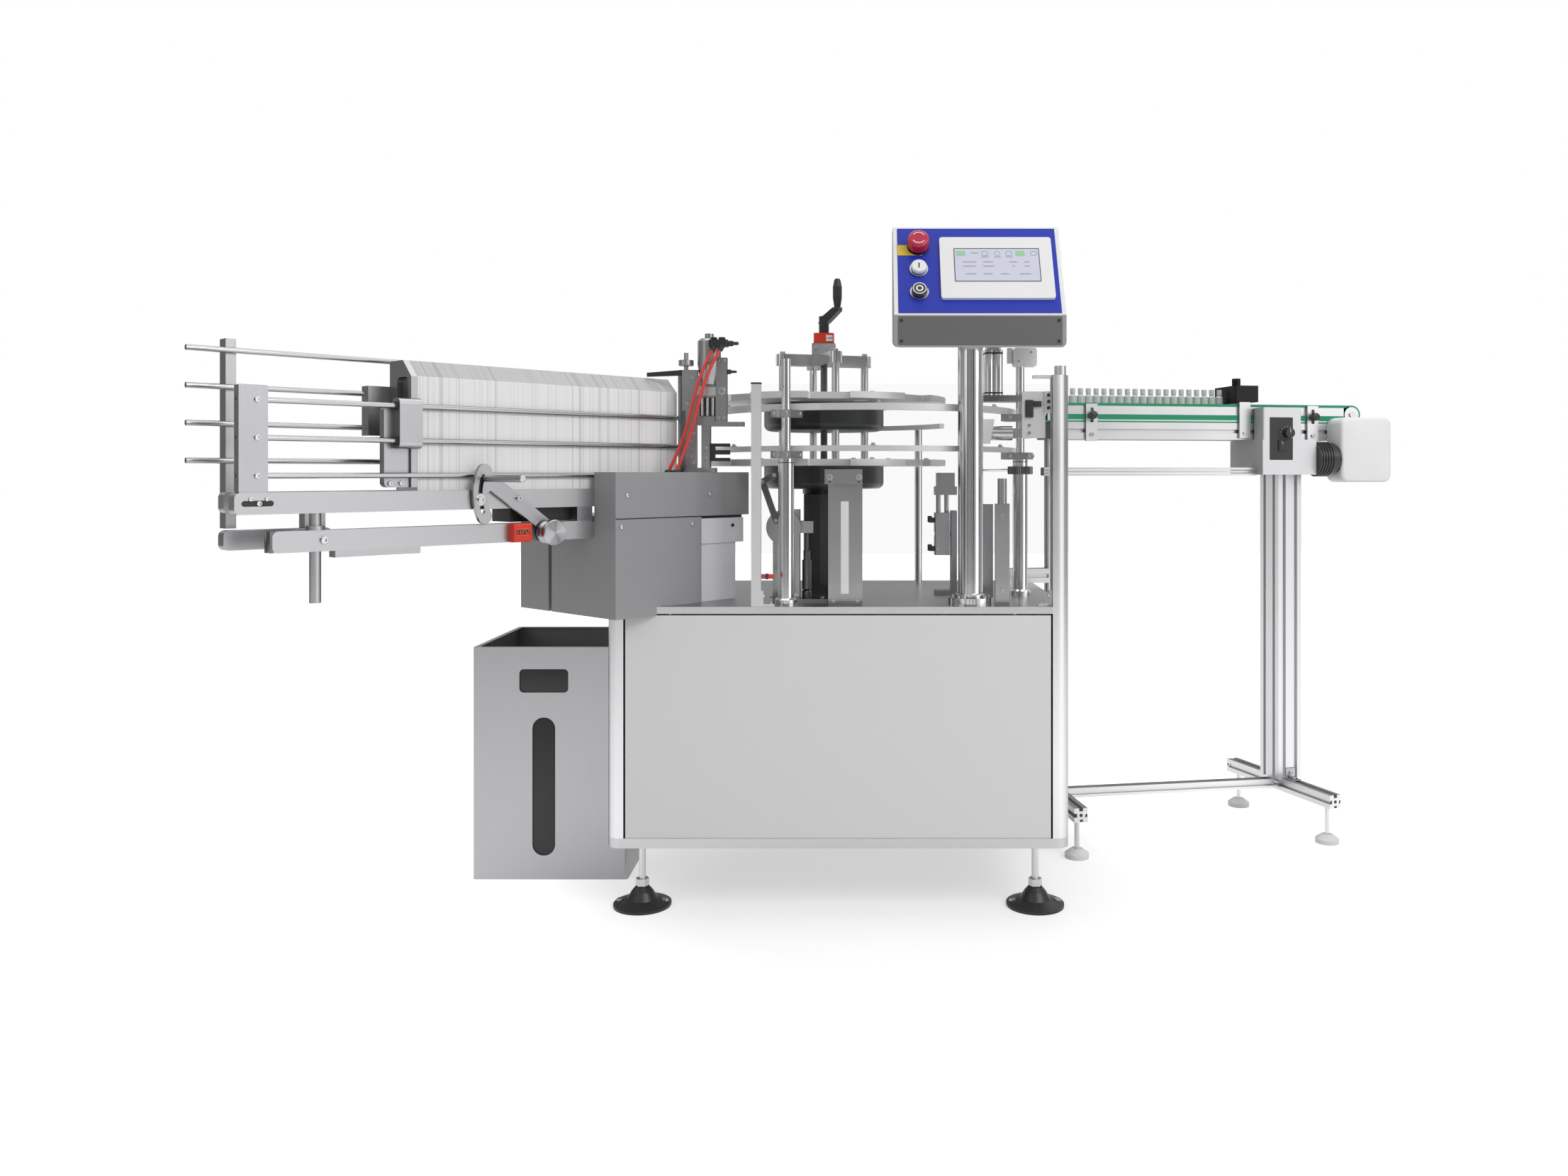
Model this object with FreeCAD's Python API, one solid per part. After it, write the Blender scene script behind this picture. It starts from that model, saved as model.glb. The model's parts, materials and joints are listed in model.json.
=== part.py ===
import FreeCAD, Part
import math
import os

# Automatic cartoner. Working frame while it is drawn: X across the cabinet with zero at its
# middle, Y to the back with zero at the cabinet front, Z up from the floor. Everything is
# moved once at the end, so that the origin is under the middle of the whole machine.

V = FreeCAD.Vector
UP = V(0, 0, 1)

# Cabinet
CABINET_WIDTH = 800.0
CABINET_DEPTH = 500.0
CABINET_BOTTOM = 119.0
BASE_THICKNESS = 17.0
DECK_TOP = 535.0
DECK_THICKNESS = 12.0
POST_SIZE = 30.0
POST_RADIUS = 24.0
PANEL_THICKNESS = 12.0
PANEL_GAP = 3.0
PANEL_RECESS = 2.0

# Levelling feet
FOOT_RADIUS = 51.0
FOOT_RIM = 5.0
FOOT_CONE_RADIUS = 19.0
FOOT_CONE_TOP = 34.0
FOOT_NUT_TOP = 48.0
FOOT_STEM_RADIUS = 6.0
FOOT_INSET = 52.0
FOOT_DEPTH_INSET = 60.0
FOOT_SHOULDER = 8.0
FOOT_NUT_RADIUS = 12.0

# Guard
GUARD_TOP = 935.0
GUARD_CAP_HEIGHT = 16.0
GUARD_CAP_RADIUS = 10.0
GUARD_BAR_WIDTH = 17.0
GUARD_BAR_THICKNESS = 10.0
GUARD_BAR_X = -150.0
GUARD_SHEET_THICKNESS = 5.0
GUARD_SHEET_LIFT = 38.0
GUARD_CUT_LEFT = 26.0
GUARD_CUT_WIDTH = 76.0
GUARD_CUT_TOP = 896.0
GUARD_CUT_RADIUS = 10.0

# Operator panel
PANEL_POST_X = 233.0
PANEL_POST_Y = 54.0
PANEL_POST_RADIUS = 22.0
FLANGE_RADIUS = 40.0
FLANGE_THICKNESS = 12.0
HMI_WIDTH = 300.0
HMI_OFFSET = 14.0
HMI_BOTTOM = 984.0
HMI_RISE = 13.0
HMI_LIP = 56.0
HMI_HEIGHT = 227.0
HMI_SETBACK = 90.0
HMI_CORNER = 10.0
HMI_BOTTOM_DEPTH = 118.0
HMI_FRONT_Y = 20.0
HMI_TOP_DEPTH = 45.0
FACE_PLATE_THICKNESS = 2.0
FACE_PLATE_MARGIN = 8.0
BEZEL_WIDTH = 200.0
BEZEL_HEIGHT = 134.0
BEZEL_THICKNESS = 6.0
BEZEL_FROM_RIGHT = 117.0
BEZEL_UP = 98.0
BUTTON_FROM_LEFT = 45.0
STOP_BUTTON_UP = 149.0
WHITE_BUTTON_UP = 97.0
BLACK_BUTTON_UP = 47.0
STOP_HEAD_RADIUS = 19.0
BUTTON_RADIUS = 13.5
BUTTON_STEM_RADIUS = 8.0
BUTTON_STEM_DEPTH = 10.0
STOP_HEAD_HEIGHT = 20.0
BUTTON_HEIGHT = 8.0
BUTTON_TRAVEL = 4.0

# Turret
TURRET_X = -34.0
TURRET_Y = 305.0
STAR_RADIUS = 240.0
STAR_THICKNESS = 12.0
POCKETS = 8
POCKET_WIDTH = 76.0
POCKET_DEPTH = 26.0
POCKET_PHASE = -86.0
POCKET_CORNER = 6.0
STAR_HOLE_RADIUS = 15.0
STAR_HOLE_CIRCLE = 166.0
LOWER_STAR_Z = 779.0
UPPER_STAR_Z = 900.0
HUB_RADIUS = 118.0
LOWER_HUB_DEPTH = 44.0
UPPER_HUB_DEPTH = 52.0
HUB_CORNER = 12.0
COLUMN_CIRCLE = 84.0
COLUMN_PHASE = 17.0
COLUMN_RADIUS = 7.5
SPIDER_Z = 976.0
SPIDER_THICKNESS = 22.0
SPIDER_ARM = 26.0
SCREW_RADIUS = 7.0
CAP_BLOCK = 46.0
CAP_BLOCK_HEIGHT = 22.0
INDICATOR_WIDTH = 40.0
INDICATOR_HEIGHT = 21.0
CRANK_HUB_RADIUS = 10.0
CRANK_HUB_HEIGHT = 34.0
CRANK_THROW = 31.0
CRANK_RISE = 16.0
CRANK_ARM_WIDTH = 14.0
CRANK_GRIP_RADIUS = 9.0
CRANK_GRIP_HEIGHT = 54.0
CRANK_PHASE = -30.0
GEARBOX_WIDTH = 74.0
GEARBOX_DEPTH = 150.0
GEARBOX_FLANGE = 10.0
DRIVE_FLANGE_RADIUS = 42.0

# Carton guides
RING_X = 45.0
RING_Y = 320.0
RING_RADIUS = 300.0
RING_WIDTH = 12.0
UPPER_RING_Z = 876.0
UPPER_RING_THICKNESS = 12.0
LOWER_RING_Z = 804.0
LOWER_RING_THICKNESS = 10.0
RING_FIRST_ANGLE = 178.0
RING_LAST_ANGLE = 352.0
LEFT_COLUMN_X = -92.0
LEFT_COLUMN_Y = 40.0
RIGHT_COLUMN_X = 340.0
RIGHT_COLUMN_Y = 196.0
GUIDE_LOWER_RADIUS = 14.0
GUIDE_UPPER_RADIUS = 8.0
GUIDE_STEP_Z = 791.0
GUIDE_TOP = 966.0
CLAMP_WIDTH = 40.0
CLAMP_HEIGHT = 13.0

# Front bracket on the deck
BRACKET_X = 9.0
BRACKET_Y = 34.0
BRACKET_WIDTH = 66.0
BRACKET_DEPTH = 26.0
BRACKET_TOP = 772.0
BRACKET_FOOT = 12.0

# Magazine: its own frame has X along the rods to the turret and Y to the back left
MAGAZINE_X = -769.0
MAGAZINE_Y = -418.0
MAGAZINE_ANGLE = 48.0
BEAM_HEIGHT = 30.0
BEAM_WIDTH = 20.0
BEAM_CORNER = 8.0
UPPER_BEAM_Z = 709.0
LOWER_BEAM_Z = 655.0
UPPER_BEAM_START = -45.0
BACK_BEAM_START = -30.0
UPPER_BEAM_END = 700.0
LOWER_BEAM_START = 4.0
MAGAZINE_SPAN = 80.0
ROD_RADIUS = 4.0
ROD_PITCH = 52.0
FRONT_ROD_Z = 762.0
BACK_ROD_Z = 783.0
FRONT_ROD_END = 735.0
BACK_ROD_START = -73.0
BACK_ROD_END = 700.0
END_PLATE_WIDTH = 38.0
END_PLATE_THICKNESS = 16.0
ROD_SOCKET = 19.0
END_PLATE_HEIGHT = 147.0
BACK_BAR_WIDTH = 14.0
BACK_BAR_THICKNESS = 22.0
BACK_BAR_BOTTOM = 687.0
BACK_BAR_TOP = 956.0
STACK_START = 222.0
STACK_END = 722.0
STACK_WIDTH = 68.0
STACK_HEIGHT = 199.0
STACK_BEVEL = 26.0
CARRIAGE_TRAVEL = 140.0
STUD_X = 66.0
STUD_RADIUS = 8.0
STUD_BOTTOM = 582.0
STUD_COLLAR_RADIUS = 12.5
STUD_COLLAR = 6.0
KNOB_X = 430.0
KNOB_Z = 669.0
KNOB_RADIUS = 21.0
KNOB_LENGTH = 22.0
KNOB_STEM_RADIUS = 6.0

# Covers beside the magazine end
COVER_START = 530.0
COVER_FRONT = -60.0
COVER_SPLIT_Z = 689.0
UPPER_COVER_LENGTH = 300.0
UPPER_COVER_TOP = 767.0
LOWER_COVER_LENGTH = 186.0
LOWER_COVER_DEPTH = 287.0

# Reject bin
BIN_WIDTH = 292.0
BIN_DEPTH = 300.0
BIN_HEIGHT = 437.0
BIN_RIM = 10.0
BIN_WALL = 2.0
BIN_FROM_BACK = 10.0
BIN_WINDOW_WIDTH = 92.0
BIN_WINDOW_HEIGHT = 44.0
BIN_WINDOW_Z = 352.0
BIN_SLOT_WIDTH = 43.0
BIN_SLOT_BOTTOM = 45.0
BIN_SLOT_TOP = 305.0
BIN_OPENING_ACROSS = -12.0

# Conveyor: its own frame has X along the belt and Y to the back
CONVEYOR_GAP = 69.0
CONVEYOR_Y = 322.0
CONVEYOR_ANGLE = 9.7
BELT_TOP = 912.0
BELT_THICKNESS = 3.0
BELT_WIDTH = 82.0
BELT_MIDDLE = 140.0
BELT_START = -62.0
BELT_END = 680.0
FRAME_WIDTH = 84.0
ROLLER_RADIUS = 17.0
SUPPORT_HEIGHT = 36.0
SUPPORT_START = -20.0
SUPPORT_END = 640.0
STAND_X = 519.0
STAND_SIZE = 60.0
STAND_POST = 30.0
STAND_TURN = 10.0
DECK_ARM_LENGTH = 100.0
FOOT_BAR = 28.0
FOOT_BAR_LENGTH = 335.0
FOOT_BAR_Z = 76.0
LOWER_BAR = 20.0
SMALL_FOOT_RADIUS = 24.0
SMALL_FOOT_HEIGHT = 18.0
SMALL_STEM_RADIUS = 5.0
DRIVE_BOX_START = 432.0
DRIVE_BOX_LENGTH = 89.0
DRIVE_BOX_FRONT = 56.0
DRIVE_BOX_BACK = 200.0
DRIVE_BOX_BOTTOM = 762.0
DRIVE_BOX_TOP = 904.0
DRIVE_FOOT_LENGTH = 122.0
TIE_BAR_Z = 760.0
TIE_BAR_SIZE = 17.0
MOTOR_RADIUS = 35.0
MOTOR_Z = 783.0
MOTOR_COVER_START = 604.0
MOTOR_COVER_LENGTH = 118.0
MOTOR_COVER_DEPTH = 56.0
MOTOR_COVER_BOTTOM = 746.0
MOTOR_COVER_TOP = 884.0
SPEED_KNOB_RADIUS = 10.0
SPEED_KNOB_LENGTH = 14.0
SPEED_KNOB_ALONG = 55.0
SPEED_KNOB_DROP = 54.0
BOTTLE_PITCH = 17.5
BOTTLE_COUNT = 22
BOTTLE_RADIUS = 8.0
BOTTLE_HEIGHT = 33.0
BOTTLE_SHOULDER_Z = 16.5
BOTTLE_CAP_Z = 21.8
BOTTLE_NECK_RADIUS = 3.6
BOTTLE_CAP_RADIUS = 5.6
BOTTLE_START = 8.0

# Extruded profiles
SLOT_PITCH = 30.0
SLOT_WIDTH = 8.0
SLOT_DEPTH = 6.0

# Links under and between the magazine beams
LUG_LENGTH = 150.0
UNDER_PLATE_START = 90.0
UNDER_PLATE_LENGTH = 128.0
UNDER_PLATE_THICKNESS = 10.0

# Pusher on the magazine rods
PUSHER_PLATE = 10.0
PUSHER_WINDOW = 34.0
PUSHER_WINDOW_HEIGHT = 96.0
CARRIAGE_START = 186.0
CARRIAGE_WIDTH = 24.0
CARRIAGE_CORNER = 9.0
SIDE_PLATE_START = 172.0
SIDE_PLATE_THICKNESS = 14.0
SLIDER_LENGTH = 34.0
SLIDER_WIDTH = 22.0

# Adjusting link in front of the magazine beams
LINK_THICKNESS = 6.0
LINK_RADIUS = 80.0
LINK_WIDTH = 24.0
LINK_X = 312.0
LINK_Z = 733.0
LINK_SWEEP = 26.0
LINK_SLOT = 7.0
LINK_SLOT_SWEEP = 20.0
LINK_BOLT_Z = 724.0
LINK_BOSS_RADIUS = 10.0
LINK_ARM_END = 15.0
HANDLE_RADIUS = 5.5
HANDLE_LENGTH = 110.0
HANDLE_X = 320.0
HANDLE_Z = 757.0
LINK_ARM_BEND_Z = 742.0
COUNTER_START = 367.0
COUNTER_LENGTH = 32.0
COUNTER_HEIGHT = 30.0
COUNTER_DEPTH = 16.0

# Covers beside the magazine end, further sizes
COVER_BOTTOM = 520.0
COVER_SEAM = 188.0
COVER_SEAM_WIDTH = 10.0
COVER_SEAM_DEPTH = 40.0
COVER_SKIRT = 104.0
COVER_SKIRT_BAND = 45.0

# Guard fittings
ANGLE_LEG = 23.0
ANGLE_THICKNESS = 4.0
SHEET_CLIP_WIDTH = 13.0
SHEET_CLIP_BOTTOM = 869.0
SHEET_CLIP_HEIGHT = 38.0
SHEET_CLIP_DEPTH = 9.0
HOOK_PLATE_WIDTH = 40.0
HOOK_PLATE_BOTTOM = 826.0
HOOK_PLATE_HEIGHT = 81.0
HOOK_PLATE_THICKNESS = 5.0
TOP_STRIP_LENGTH = 32.0
TOP_STRIP_WIDTH = 16.0

# Picker head on the upper cover
PICKER_X = -236.0
PICKER_Y = 110.0
PICKER_RADIUS = 21.0
PICKER_BASE = 8.0
PICKER_BASE_WIDTH = 55.0
PICKER_DEPTH = 20.0
PICKER_RAIL_HEIGHT = 103.0
PICKER_POST_WIDTH = 16.0
PICKER_POST_HEIGHT = 81.0
PICKER_FACE_HEIGHT = 64.0
GUIDE_BLOCK_Z = 852.0
GUIDE_BLOCK_WIDTH = 31.0
GUIDE_BLOCK_HEIGHT = 80.0
HEAD_Z = 926.0
HEAD_NECK_RADIUS = 15.0
HEAD_TAPER = 34.0
HEAD_HEIGHT = 48.0
ARM_BLOCK_Z = 878.0
ARM_BLOCK_HEIGHT = 74.0
ARM_BLOCK_WIDTH = 28.0
SIDE_ARM_Z = 858.0
SIDE_ARM_HEIGHT = 116.0
TRAY_Z = 850.0
TRAY_LENGTH = 61.0
TRAY_THICKNESS = 8.0
DISC_RADIUS = 13.5
DISC_STEM_RADIUS = 4.0
DISC_THICKNESS = 10.0
FORK_Z = 787.0
FORK_LENGTH = 35.0
FORK_HEIGHT = 32.0
FORK_SLOT = 6.0
OVERARM_LENGTH = 64.0
CAP_STEP = 30.0
CAP_TOP = 34.0
CAP_STUD_RADIUS = 8.0
CAP_STUD_TOP = 44.0
MANIFOLD_WIDTH = 34.0
MANIFOLD_DEPTH = 24.0
MANIFOLD_HEIGHT = 12.0
TUBE_RADIUS = 3.0
BEND_SHARE = 0.45
TUBE_SOCKET_RADIUS = 5.0
TUBE_SOCKET_LENGTH = 14.0
TUBE_ROUTES = [[(-228, 86, 986), (-245.5, 79, 950), (-261, 74, 891), (-276.5, 67, 822),
                (-302, 62, 768.7)],
               [(-214, 85, 986), (-232, 77, 952), (-247, 69, 901), (-262, 60, 833),
                (-287, 55, 768.7)]]

# Cam bracket and lever on the deck
CAM_X = -98.0
CAM_Z = 669.0
CAM_RADIUS = 31.0
CAM_THICKNESS = 12.0
CAM_FRONT_Y = 62.0
CAM_PLATE = 10.0
CAM_PLATE_DEPTH = 30.0
CAM_PLATE_GAP = 28.0
CAM_PLATE_HEIGHT = 110.0
CAM_FOOT_LENGTH = 97.0
CAM_FOOT = 6.0
CAM_FOOT_EDGE = 4.0
CAM_ARM_LENGTH = 24.0
CAM_ARM_HEIGHT = 21.0
LEVER_WIDTH = 11.0
LEVER_THICKNESS = 5.5
LEVER_PLACES = [(-114, 762), (-135, 750), (-111, 681)]

# Air cylinders and uprights on the deck
SMALL_CYLINDER_X = -58.0
SMALL_CYLINDER_RADIUS = 8.3
SMALL_CYLINDER_LENGTH = 52.0
SMALL_CYLINDER_ROD = 3.0
SMALL_CYLINDER_STROKE = 32.0
UPRIGHT_X = 269.0
UPRIGHT_Y = 115.0
UPRIGHT_WIDTH = 20.0
UPRIGHT_DEPTH = 14.0
UPRIGHT_HEIGHT = 174.0
PRESS_X = 194.5
PRESS_Y = 216.0
PRESS_WIDTH = 31.0
PRESS_DEPTH = 32.0
PRESS_PLATE = 11.0
PRESS_PLATE_HEIGHT = 159.0
PRESS_FOOT = 8.0
TWIN_BOTTOM = 610.0
TWIN_HEIGHT = 80.0
TWIN_WAIST = 6.0
TWIN_CORNER = 4.0
TWIN_ROD_RADIUS = 4.5
TWIN_STROKE = 34.0
TWIN_YOKE_WIDTH = 42.0
TWIN_YOKE_HEIGHT = 16.0
TWIN_PLATE_WIDTH = 34.0
TWIN_PLATE_HEIGHT = 26.0
LEVEL_RADIUS = 13.5
LEVEL_LENGTH = 38.0
LEVEL_FROM_COLUMN = 56.0
LEVEL_FORWARD = 21.0
HOLDER_LENGTH = 36.0
HOLDER_DEPTH = 42.0
HOLDER_HEIGHT = 18.0
CLEVIS_X = 286.5
CLEVIS_Y = 33.0
CLEVIS_PLATE_WIDTH = 25.0
CLEVIS_PLATE_THICKNESS = 10.0
CLEVIS_PLATE_HEIGHT = 177.0
CLEVIS_RADIUS = 8.0
CLEVIS_HEIGHT = 44.0

# Cylinder bundle, sensor and chute
BUNDLE_X = 290.0
BUNDLE_Y = 206.0
BUNDLE_PLATE = 40.0
BUNDLE_PLATE_THICKNESS = 12.0
BUNDLE_BARREL_RADIUS = 9.0
BUNDLE_PITCH = 17.0
BUNDLE_HEIGHT = 86.0
BUNDLE_CAP = 28.0
BUNDLE_CAP_HEIGHT = 22.0
SENSOR_WIDTH = 44.0
SENSOR_DEPTH = 24.0
SENSOR_HEIGHT = 35.0
SENSOR_BARREL_RADIUS = 5.5
SENSOR_BARREL_LENGTH = 29.0
CHUTE_LEFT = 214.0
CHUTE_RIGHT = 279.0
CHUTE_SLANT = 8.0
CHUTE_Y = 82.0
CHUTE_BOTTOM = 818.0
CHUTE_HEIGHT = 44.0
CHUTE_WALL = 3.0
CHUTE_LIP = 12.0
CHUTE_HOLDER = 16.0

# Rail behind the star and its post
BACK_RAIL_RADIUS = 260.0
BACK_RAIL_WIDTH = 10.0
BACK_RAIL_Z = 857.0
BACK_RAIL_FIRST_ANGLE = 20.0
BACK_RAIL_LAST_ANGLE = 85.0
BACK_POST_INSET = 12.0

# Belt brackets and bottle stop
BRACKET_PLATE = 6.0
BRACKET_PLATE_WIDTH = 25.0
BRACKET_PLATE_BOTTOM = 832.0
BRACKET_PLATE_TOP = 910.0
BOTTLE_STOP_START = 388.0
BOTTLE_STOP_LENGTH = 54.0
BOTTLE_STOP_BOTTOM = 917.0
BOTTLE_STOP_TOP = 952.0

# Clearances
SEAT = 0.3
RUNNING = 0.1
SAFE_GAP = 5.0

# Values that follow from the ones above
HALF_WIDTH = CABINET_WIDTH / 2
HALF_POST = POST_SIZE / 2
HMI_X = PANEL_POST_X + HMI_OFFSET
POST_BOTTOM = CABINET_BOTTOM + BASE_THICKNESS
POST_TOP = DECK_TOP - DECK_THICKNESS
HMI_ANGLE = math.degrees(math.atan2(HMI_SETBACK, HMI_HEIGHT - HMI_LIP))
HMI_SLOPE = math.hypot(HMI_SETBACK, HMI_HEIGHT - HMI_LIP)
BUTTON_ACROSS = BUTTON_FROM_LEFT - HMI_WIDTH / 2
BEZEL_ACROSS = HMI_WIDTH / 2 - BEZEL_FROM_RIGHT
CONVEYOR_X = HALF_WIDTH + CONVEYOR_GAP
BIN_FRONT_Y = CABINET_DEPTH - BIN_FROM_BACK - BIN_DEPTH


def block(x, y, z, dx, dy, dz):
    """Box from its lowest corner and its three sizes."""
    return Part.makeBox(dx, dy, dz, V(x, y, z))


def rod(x, y, z, radius, length, axis=UP):
    """Round bar that starts at a point and runs along an axis."""
    return Part.makeCylinder(radius, length, V(x, y, z), axis)


def outline_prism(points, lift):
    """Straight sided solid from a closed outline of points and a lift vector."""
    wire = Part.makePolygon([V(*p) for p in points + points[:1]])
    return Part.Face(wire).extrude(lift)


def turned(profile):
    """Solid of revolution about Z from (radius, height) points."""
    points = [V(r, 0, z) for r, z in profile]
    wire = Part.makePolygon(points + points[:1])
    return Part.Face(wire).revolve(V(0, 0, 0), UP, 360)


def rounded_block(x, y, z, dx, dy, dz, radius, axis=UP):
    """Box whose edges along one axis are rounded."""
    solid = block(x, y, z, dx, dy, dz)
    edges = [e for e in solid.Edges if abs(e.tangentAt(0).dot(axis)) > 0.99]
    return solid.makeFillet(radius, edges)


def stadium(length, width, thickness):
    """Flat bar with round ends along X, its middle at the origin."""
    middle = block(-length / 2, -width / 2, 0, length, width, thickness)
    for end in (-length / 2, length / 2):
        middle = middle.fuse(rod(end, 0, 0, width / 2, thickness))
    return middle.removeSplitter()


def placed(shape, x, y, z=0.0, angle=0.0):
    """Copy of a shape turned about Z and moved."""
    copy = shape.copy()
    move = FreeCAD.Placement(V(x, y, z), FreeCAD.Rotation(UP, angle))
    copy.Placement = move.multiply(copy.Placement)
    return copy


def fused(shapes):
    """One solid from shapes that overlap or touch."""
    return shapes[0].multiFuse(shapes[1:]).removeSplitter()


def in_magazine(shape):
    """Shape drawn in the magazine frame, put on the machine."""
    return placed(shape, MAGAZINE_X, MAGAZINE_Y, 0, MAGAZINE_ANGLE)


def on_conveyor(shape):
    """Shape drawn in the conveyor frame, put on the machine."""
    return placed(shape, CONVEYOR_X, CONVEYOR_Y, 0, CONVEYOR_ANGLE)


def on_turret(shape):
    """Shape drawn about the turret axis, put on the machine."""
    return placed(shape, TURRET_X, TURRET_Y)


def corner_post(x_side, y_side, bottom, top):
    """Corner profile, square inside and rounded at its outer corner."""
    post = block(-HALF_POST, -HALF_POST, bottom, POST_SIZE, POST_SIZE, top - bottom)
    outer = V(x_side * HALF_POST, y_side * HALF_POST, 0)
    edges = [e for e in post.Edges if abs(e.tangentAt(0).z) > 0.99
             and (e.CenterOfMass - outer - V(0, 0, (top + bottom) / 2)).Length < 0.1]
    post = post.makeFillet(POST_RADIUS, edges)
    x = x_side * (HALF_WIDTH - HALF_POST)
    y = HALF_POST if y_side < 0 else CABINET_DEPTH - HALF_POST
    post.translate(V(x, y, 0))
    return post


def cabinet():
    """Closed cabinet: base, posts, panels and deck."""
    base = rounded_block(-HALF_WIDTH, 0, CABINET_BOTTOM,
                         CABINET_WIDTH, CABINET_DEPTH, BASE_THICKNESS, POST_RADIUS)
    posts = [corner_post(-1, -1, POST_BOTTOM, POST_TOP),
             corner_post(-1, 1, POST_BOTTOM, POST_TOP),
             corner_post(1, 1, POST_BOTTOM, POST_TOP)]
    column = corner_post(1, -1, POST_BOTTOM, GUARD_TOP)
    cap = rod(HALF_WIDTH - HALF_POST, HALF_POST, GUARD_TOP, GUARD_CAP_RADIUS, GUARD_CAP_HEIGHT)
    column = fused([column, cap])
    deck = rounded_block(-HALF_WIDTH, 0, POST_TOP,
                         CABINET_WIDTH, CABINET_DEPTH, DECK_THICKNESS, POST_RADIUS)
    deck = deck.cut(block(HALF_WIDTH - POST_SIZE, 0, POST_TOP, POST_SIZE, POST_SIZE, DECK_THICKNESS))
    panel_height = POST_TOP - POST_BOTTOM - PANEL_GAP
    long_panel = CABINET_WIDTH - 2 * (POST_SIZE + PANEL_GAP)
    short_panel = CABINET_DEPTH - 2 * (POST_SIZE + PANEL_GAP)
    front = block(-long_panel / 2, PANEL_RECESS, POST_BOTTOM, long_panel, PANEL_THICKNESS, panel_height)
    back_y = CABINET_DEPTH - PANEL_RECESS - PANEL_THICKNESS
    back = block(-long_panel / 2, back_y, POST_BOTTOM, long_panel, PANEL_THICKNESS, panel_height)
    sides = []
    for x in (-HALF_WIDTH + PANEL_RECESS, HALF_WIDTH - PANEL_RECESS - PANEL_THICKNESS):
        sides.append(block(x, POST_SIZE + PANEL_GAP, POST_BOTTOM,
                           PANEL_THICKNESS, short_panel, panel_height))
    return {"base_plate": [base], "corner_posts": posts, "guard_column": [column],
            "front_panel": [front], "back_panel": [back], "side_panels": sides,
            "deck_plate": [deck]}


def levelling_foot():
    """Round foot with a cone, a lock nut and a stem, turned about Z."""
    foot = turned([(0, 0), (FOOT_RADIUS, 0), (FOOT_RADIUS, FOOT_RIM),
                   (FOOT_CONE_RADIUS + FOOT_SHOULDER, FOOT_RIM + FOOT_SHOULDER),
                   (FOOT_CONE_RADIUS, FOOT_CONE_TOP - FOOT_SHOULDER),
                   (FOOT_NUT_RADIUS, FOOT_CONE_TOP), (0, FOOT_CONE_TOP)])
    turns = [k * math.pi / 3 for k in range(6)]
    corners = [(FOOT_NUT_RADIUS * math.cos(a), FOOT_NUT_RADIUS * math.sin(a), FOOT_CONE_TOP)
               for a in turns]
    nut = outline_prism(corners, V(0, 0, FOOT_NUT_TOP - FOOT_CONE_TOP))
    stem = rod(0, 0, FOOT_CONE_TOP, FOOT_STEM_RADIUS, CABINET_BOTTOM - FOOT_CONE_TOP)
    return fused([foot, nut, stem])


def cabinet_feet():
    """Four levelling feet under the corners."""
    feet = []
    for x in (-HALF_WIDTH + FOOT_INSET, HALF_WIDTH - FOOT_INSET):
        for y in (FOOT_DEPTH_INSET, CABINET_DEPTH - FOOT_DEPTH_INSET):
            feet.append(placed(levelling_foot(), x, y))
    return {"levelling_feet": feet}


def guard():
    """Flat bar post, clear sheet with a cut-out, and the small fittings that hold it."""
    bar_top = GUARD_TOP - GUARD_CAP_HEIGHT
    bar_y = PANEL_RECESS
    sheet_y = bar_y + PANEL_RECESS
    bar = block(GUARD_BAR_X, bar_y, DECK_TOP, GUARD_BAR_WIDTH, GUARD_BAR_THICKNESS,
                bar_top - DECK_TOP)
    left = GUARD_BAR_X + GUARD_BAR_WIDTH
    right = HALF_WIDTH - POST_SIZE
    bottom = DECK_TOP + GUARD_SHEET_LIFT
    sheet = block(left, sheet_y, bottom, right - left, GUARD_SHEET_THICKNESS, bar_top - bottom)
    below = 2 * GUARD_CUT_RADIUS
    cut = rounded_block(left + GUARD_CUT_LEFT, 0, bottom - below, GUARD_CUT_WIDTH,
                        4 * GUARD_SHEET_THICKNESS, GUARD_CUT_TOP - bottom + below,
                        GUARD_CUT_RADIUS, V(0, 1, 0))
    angles = [angle_bracket(left, bar_y, 1), angle_bracket(right, PANEL_THICKNESS, -1)]
    back = sheet_y + GUARD_SHEET_THICKNESS
    clip = block(right - SHEET_CLIP_WIDTH, back, SHEET_CLIP_BOTTOM, SHEET_CLIP_WIDTH,
                 SHEET_CLIP_DEPTH, SHEET_CLIP_HEIGHT)
    hook = block(right - SHEET_CLIP_WIDTH - HOOK_PLATE_WIDTH + 2,
                 back + SHEET_CLIP_DEPTH - HOOK_PLATE_THICKNESS, HOOK_PLATE_BOTTOM,
                 HOOK_PLATE_WIDTH, HOOK_PLATE_THICKNESS, HOOK_PLATE_HEIGHT)
    strip = block(right - TOP_STRIP_LENGTH, back, GUARD_TOP - HOOK_PLATE_THICKNESS,
                  TOP_STRIP_LENGTH, TOP_STRIP_WIDTH, HOOK_PLATE_THICKNESS)
    return {"guard_bar": [bar] + angles + [fused([clip, hook]), strip],
            "guard_sheet": [sheet.cut(cut)]}


def hmi_face(shape):
    """Shape drawn on the leaning face, with X across, Y up the face and Z out of it."""
    copy = shape.copy()
    tilt = FreeCAD.Rotation(V(1, 0, 0), 90 - HMI_ANGLE)
    corner = V(HMI_X, HMI_FRONT_Y, HMI_BOTTOM + HMI_LIP)
    copy.Placement = FreeCAD.Placement(corner, tilt).multiply(copy.Placement)
    return copy


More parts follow.
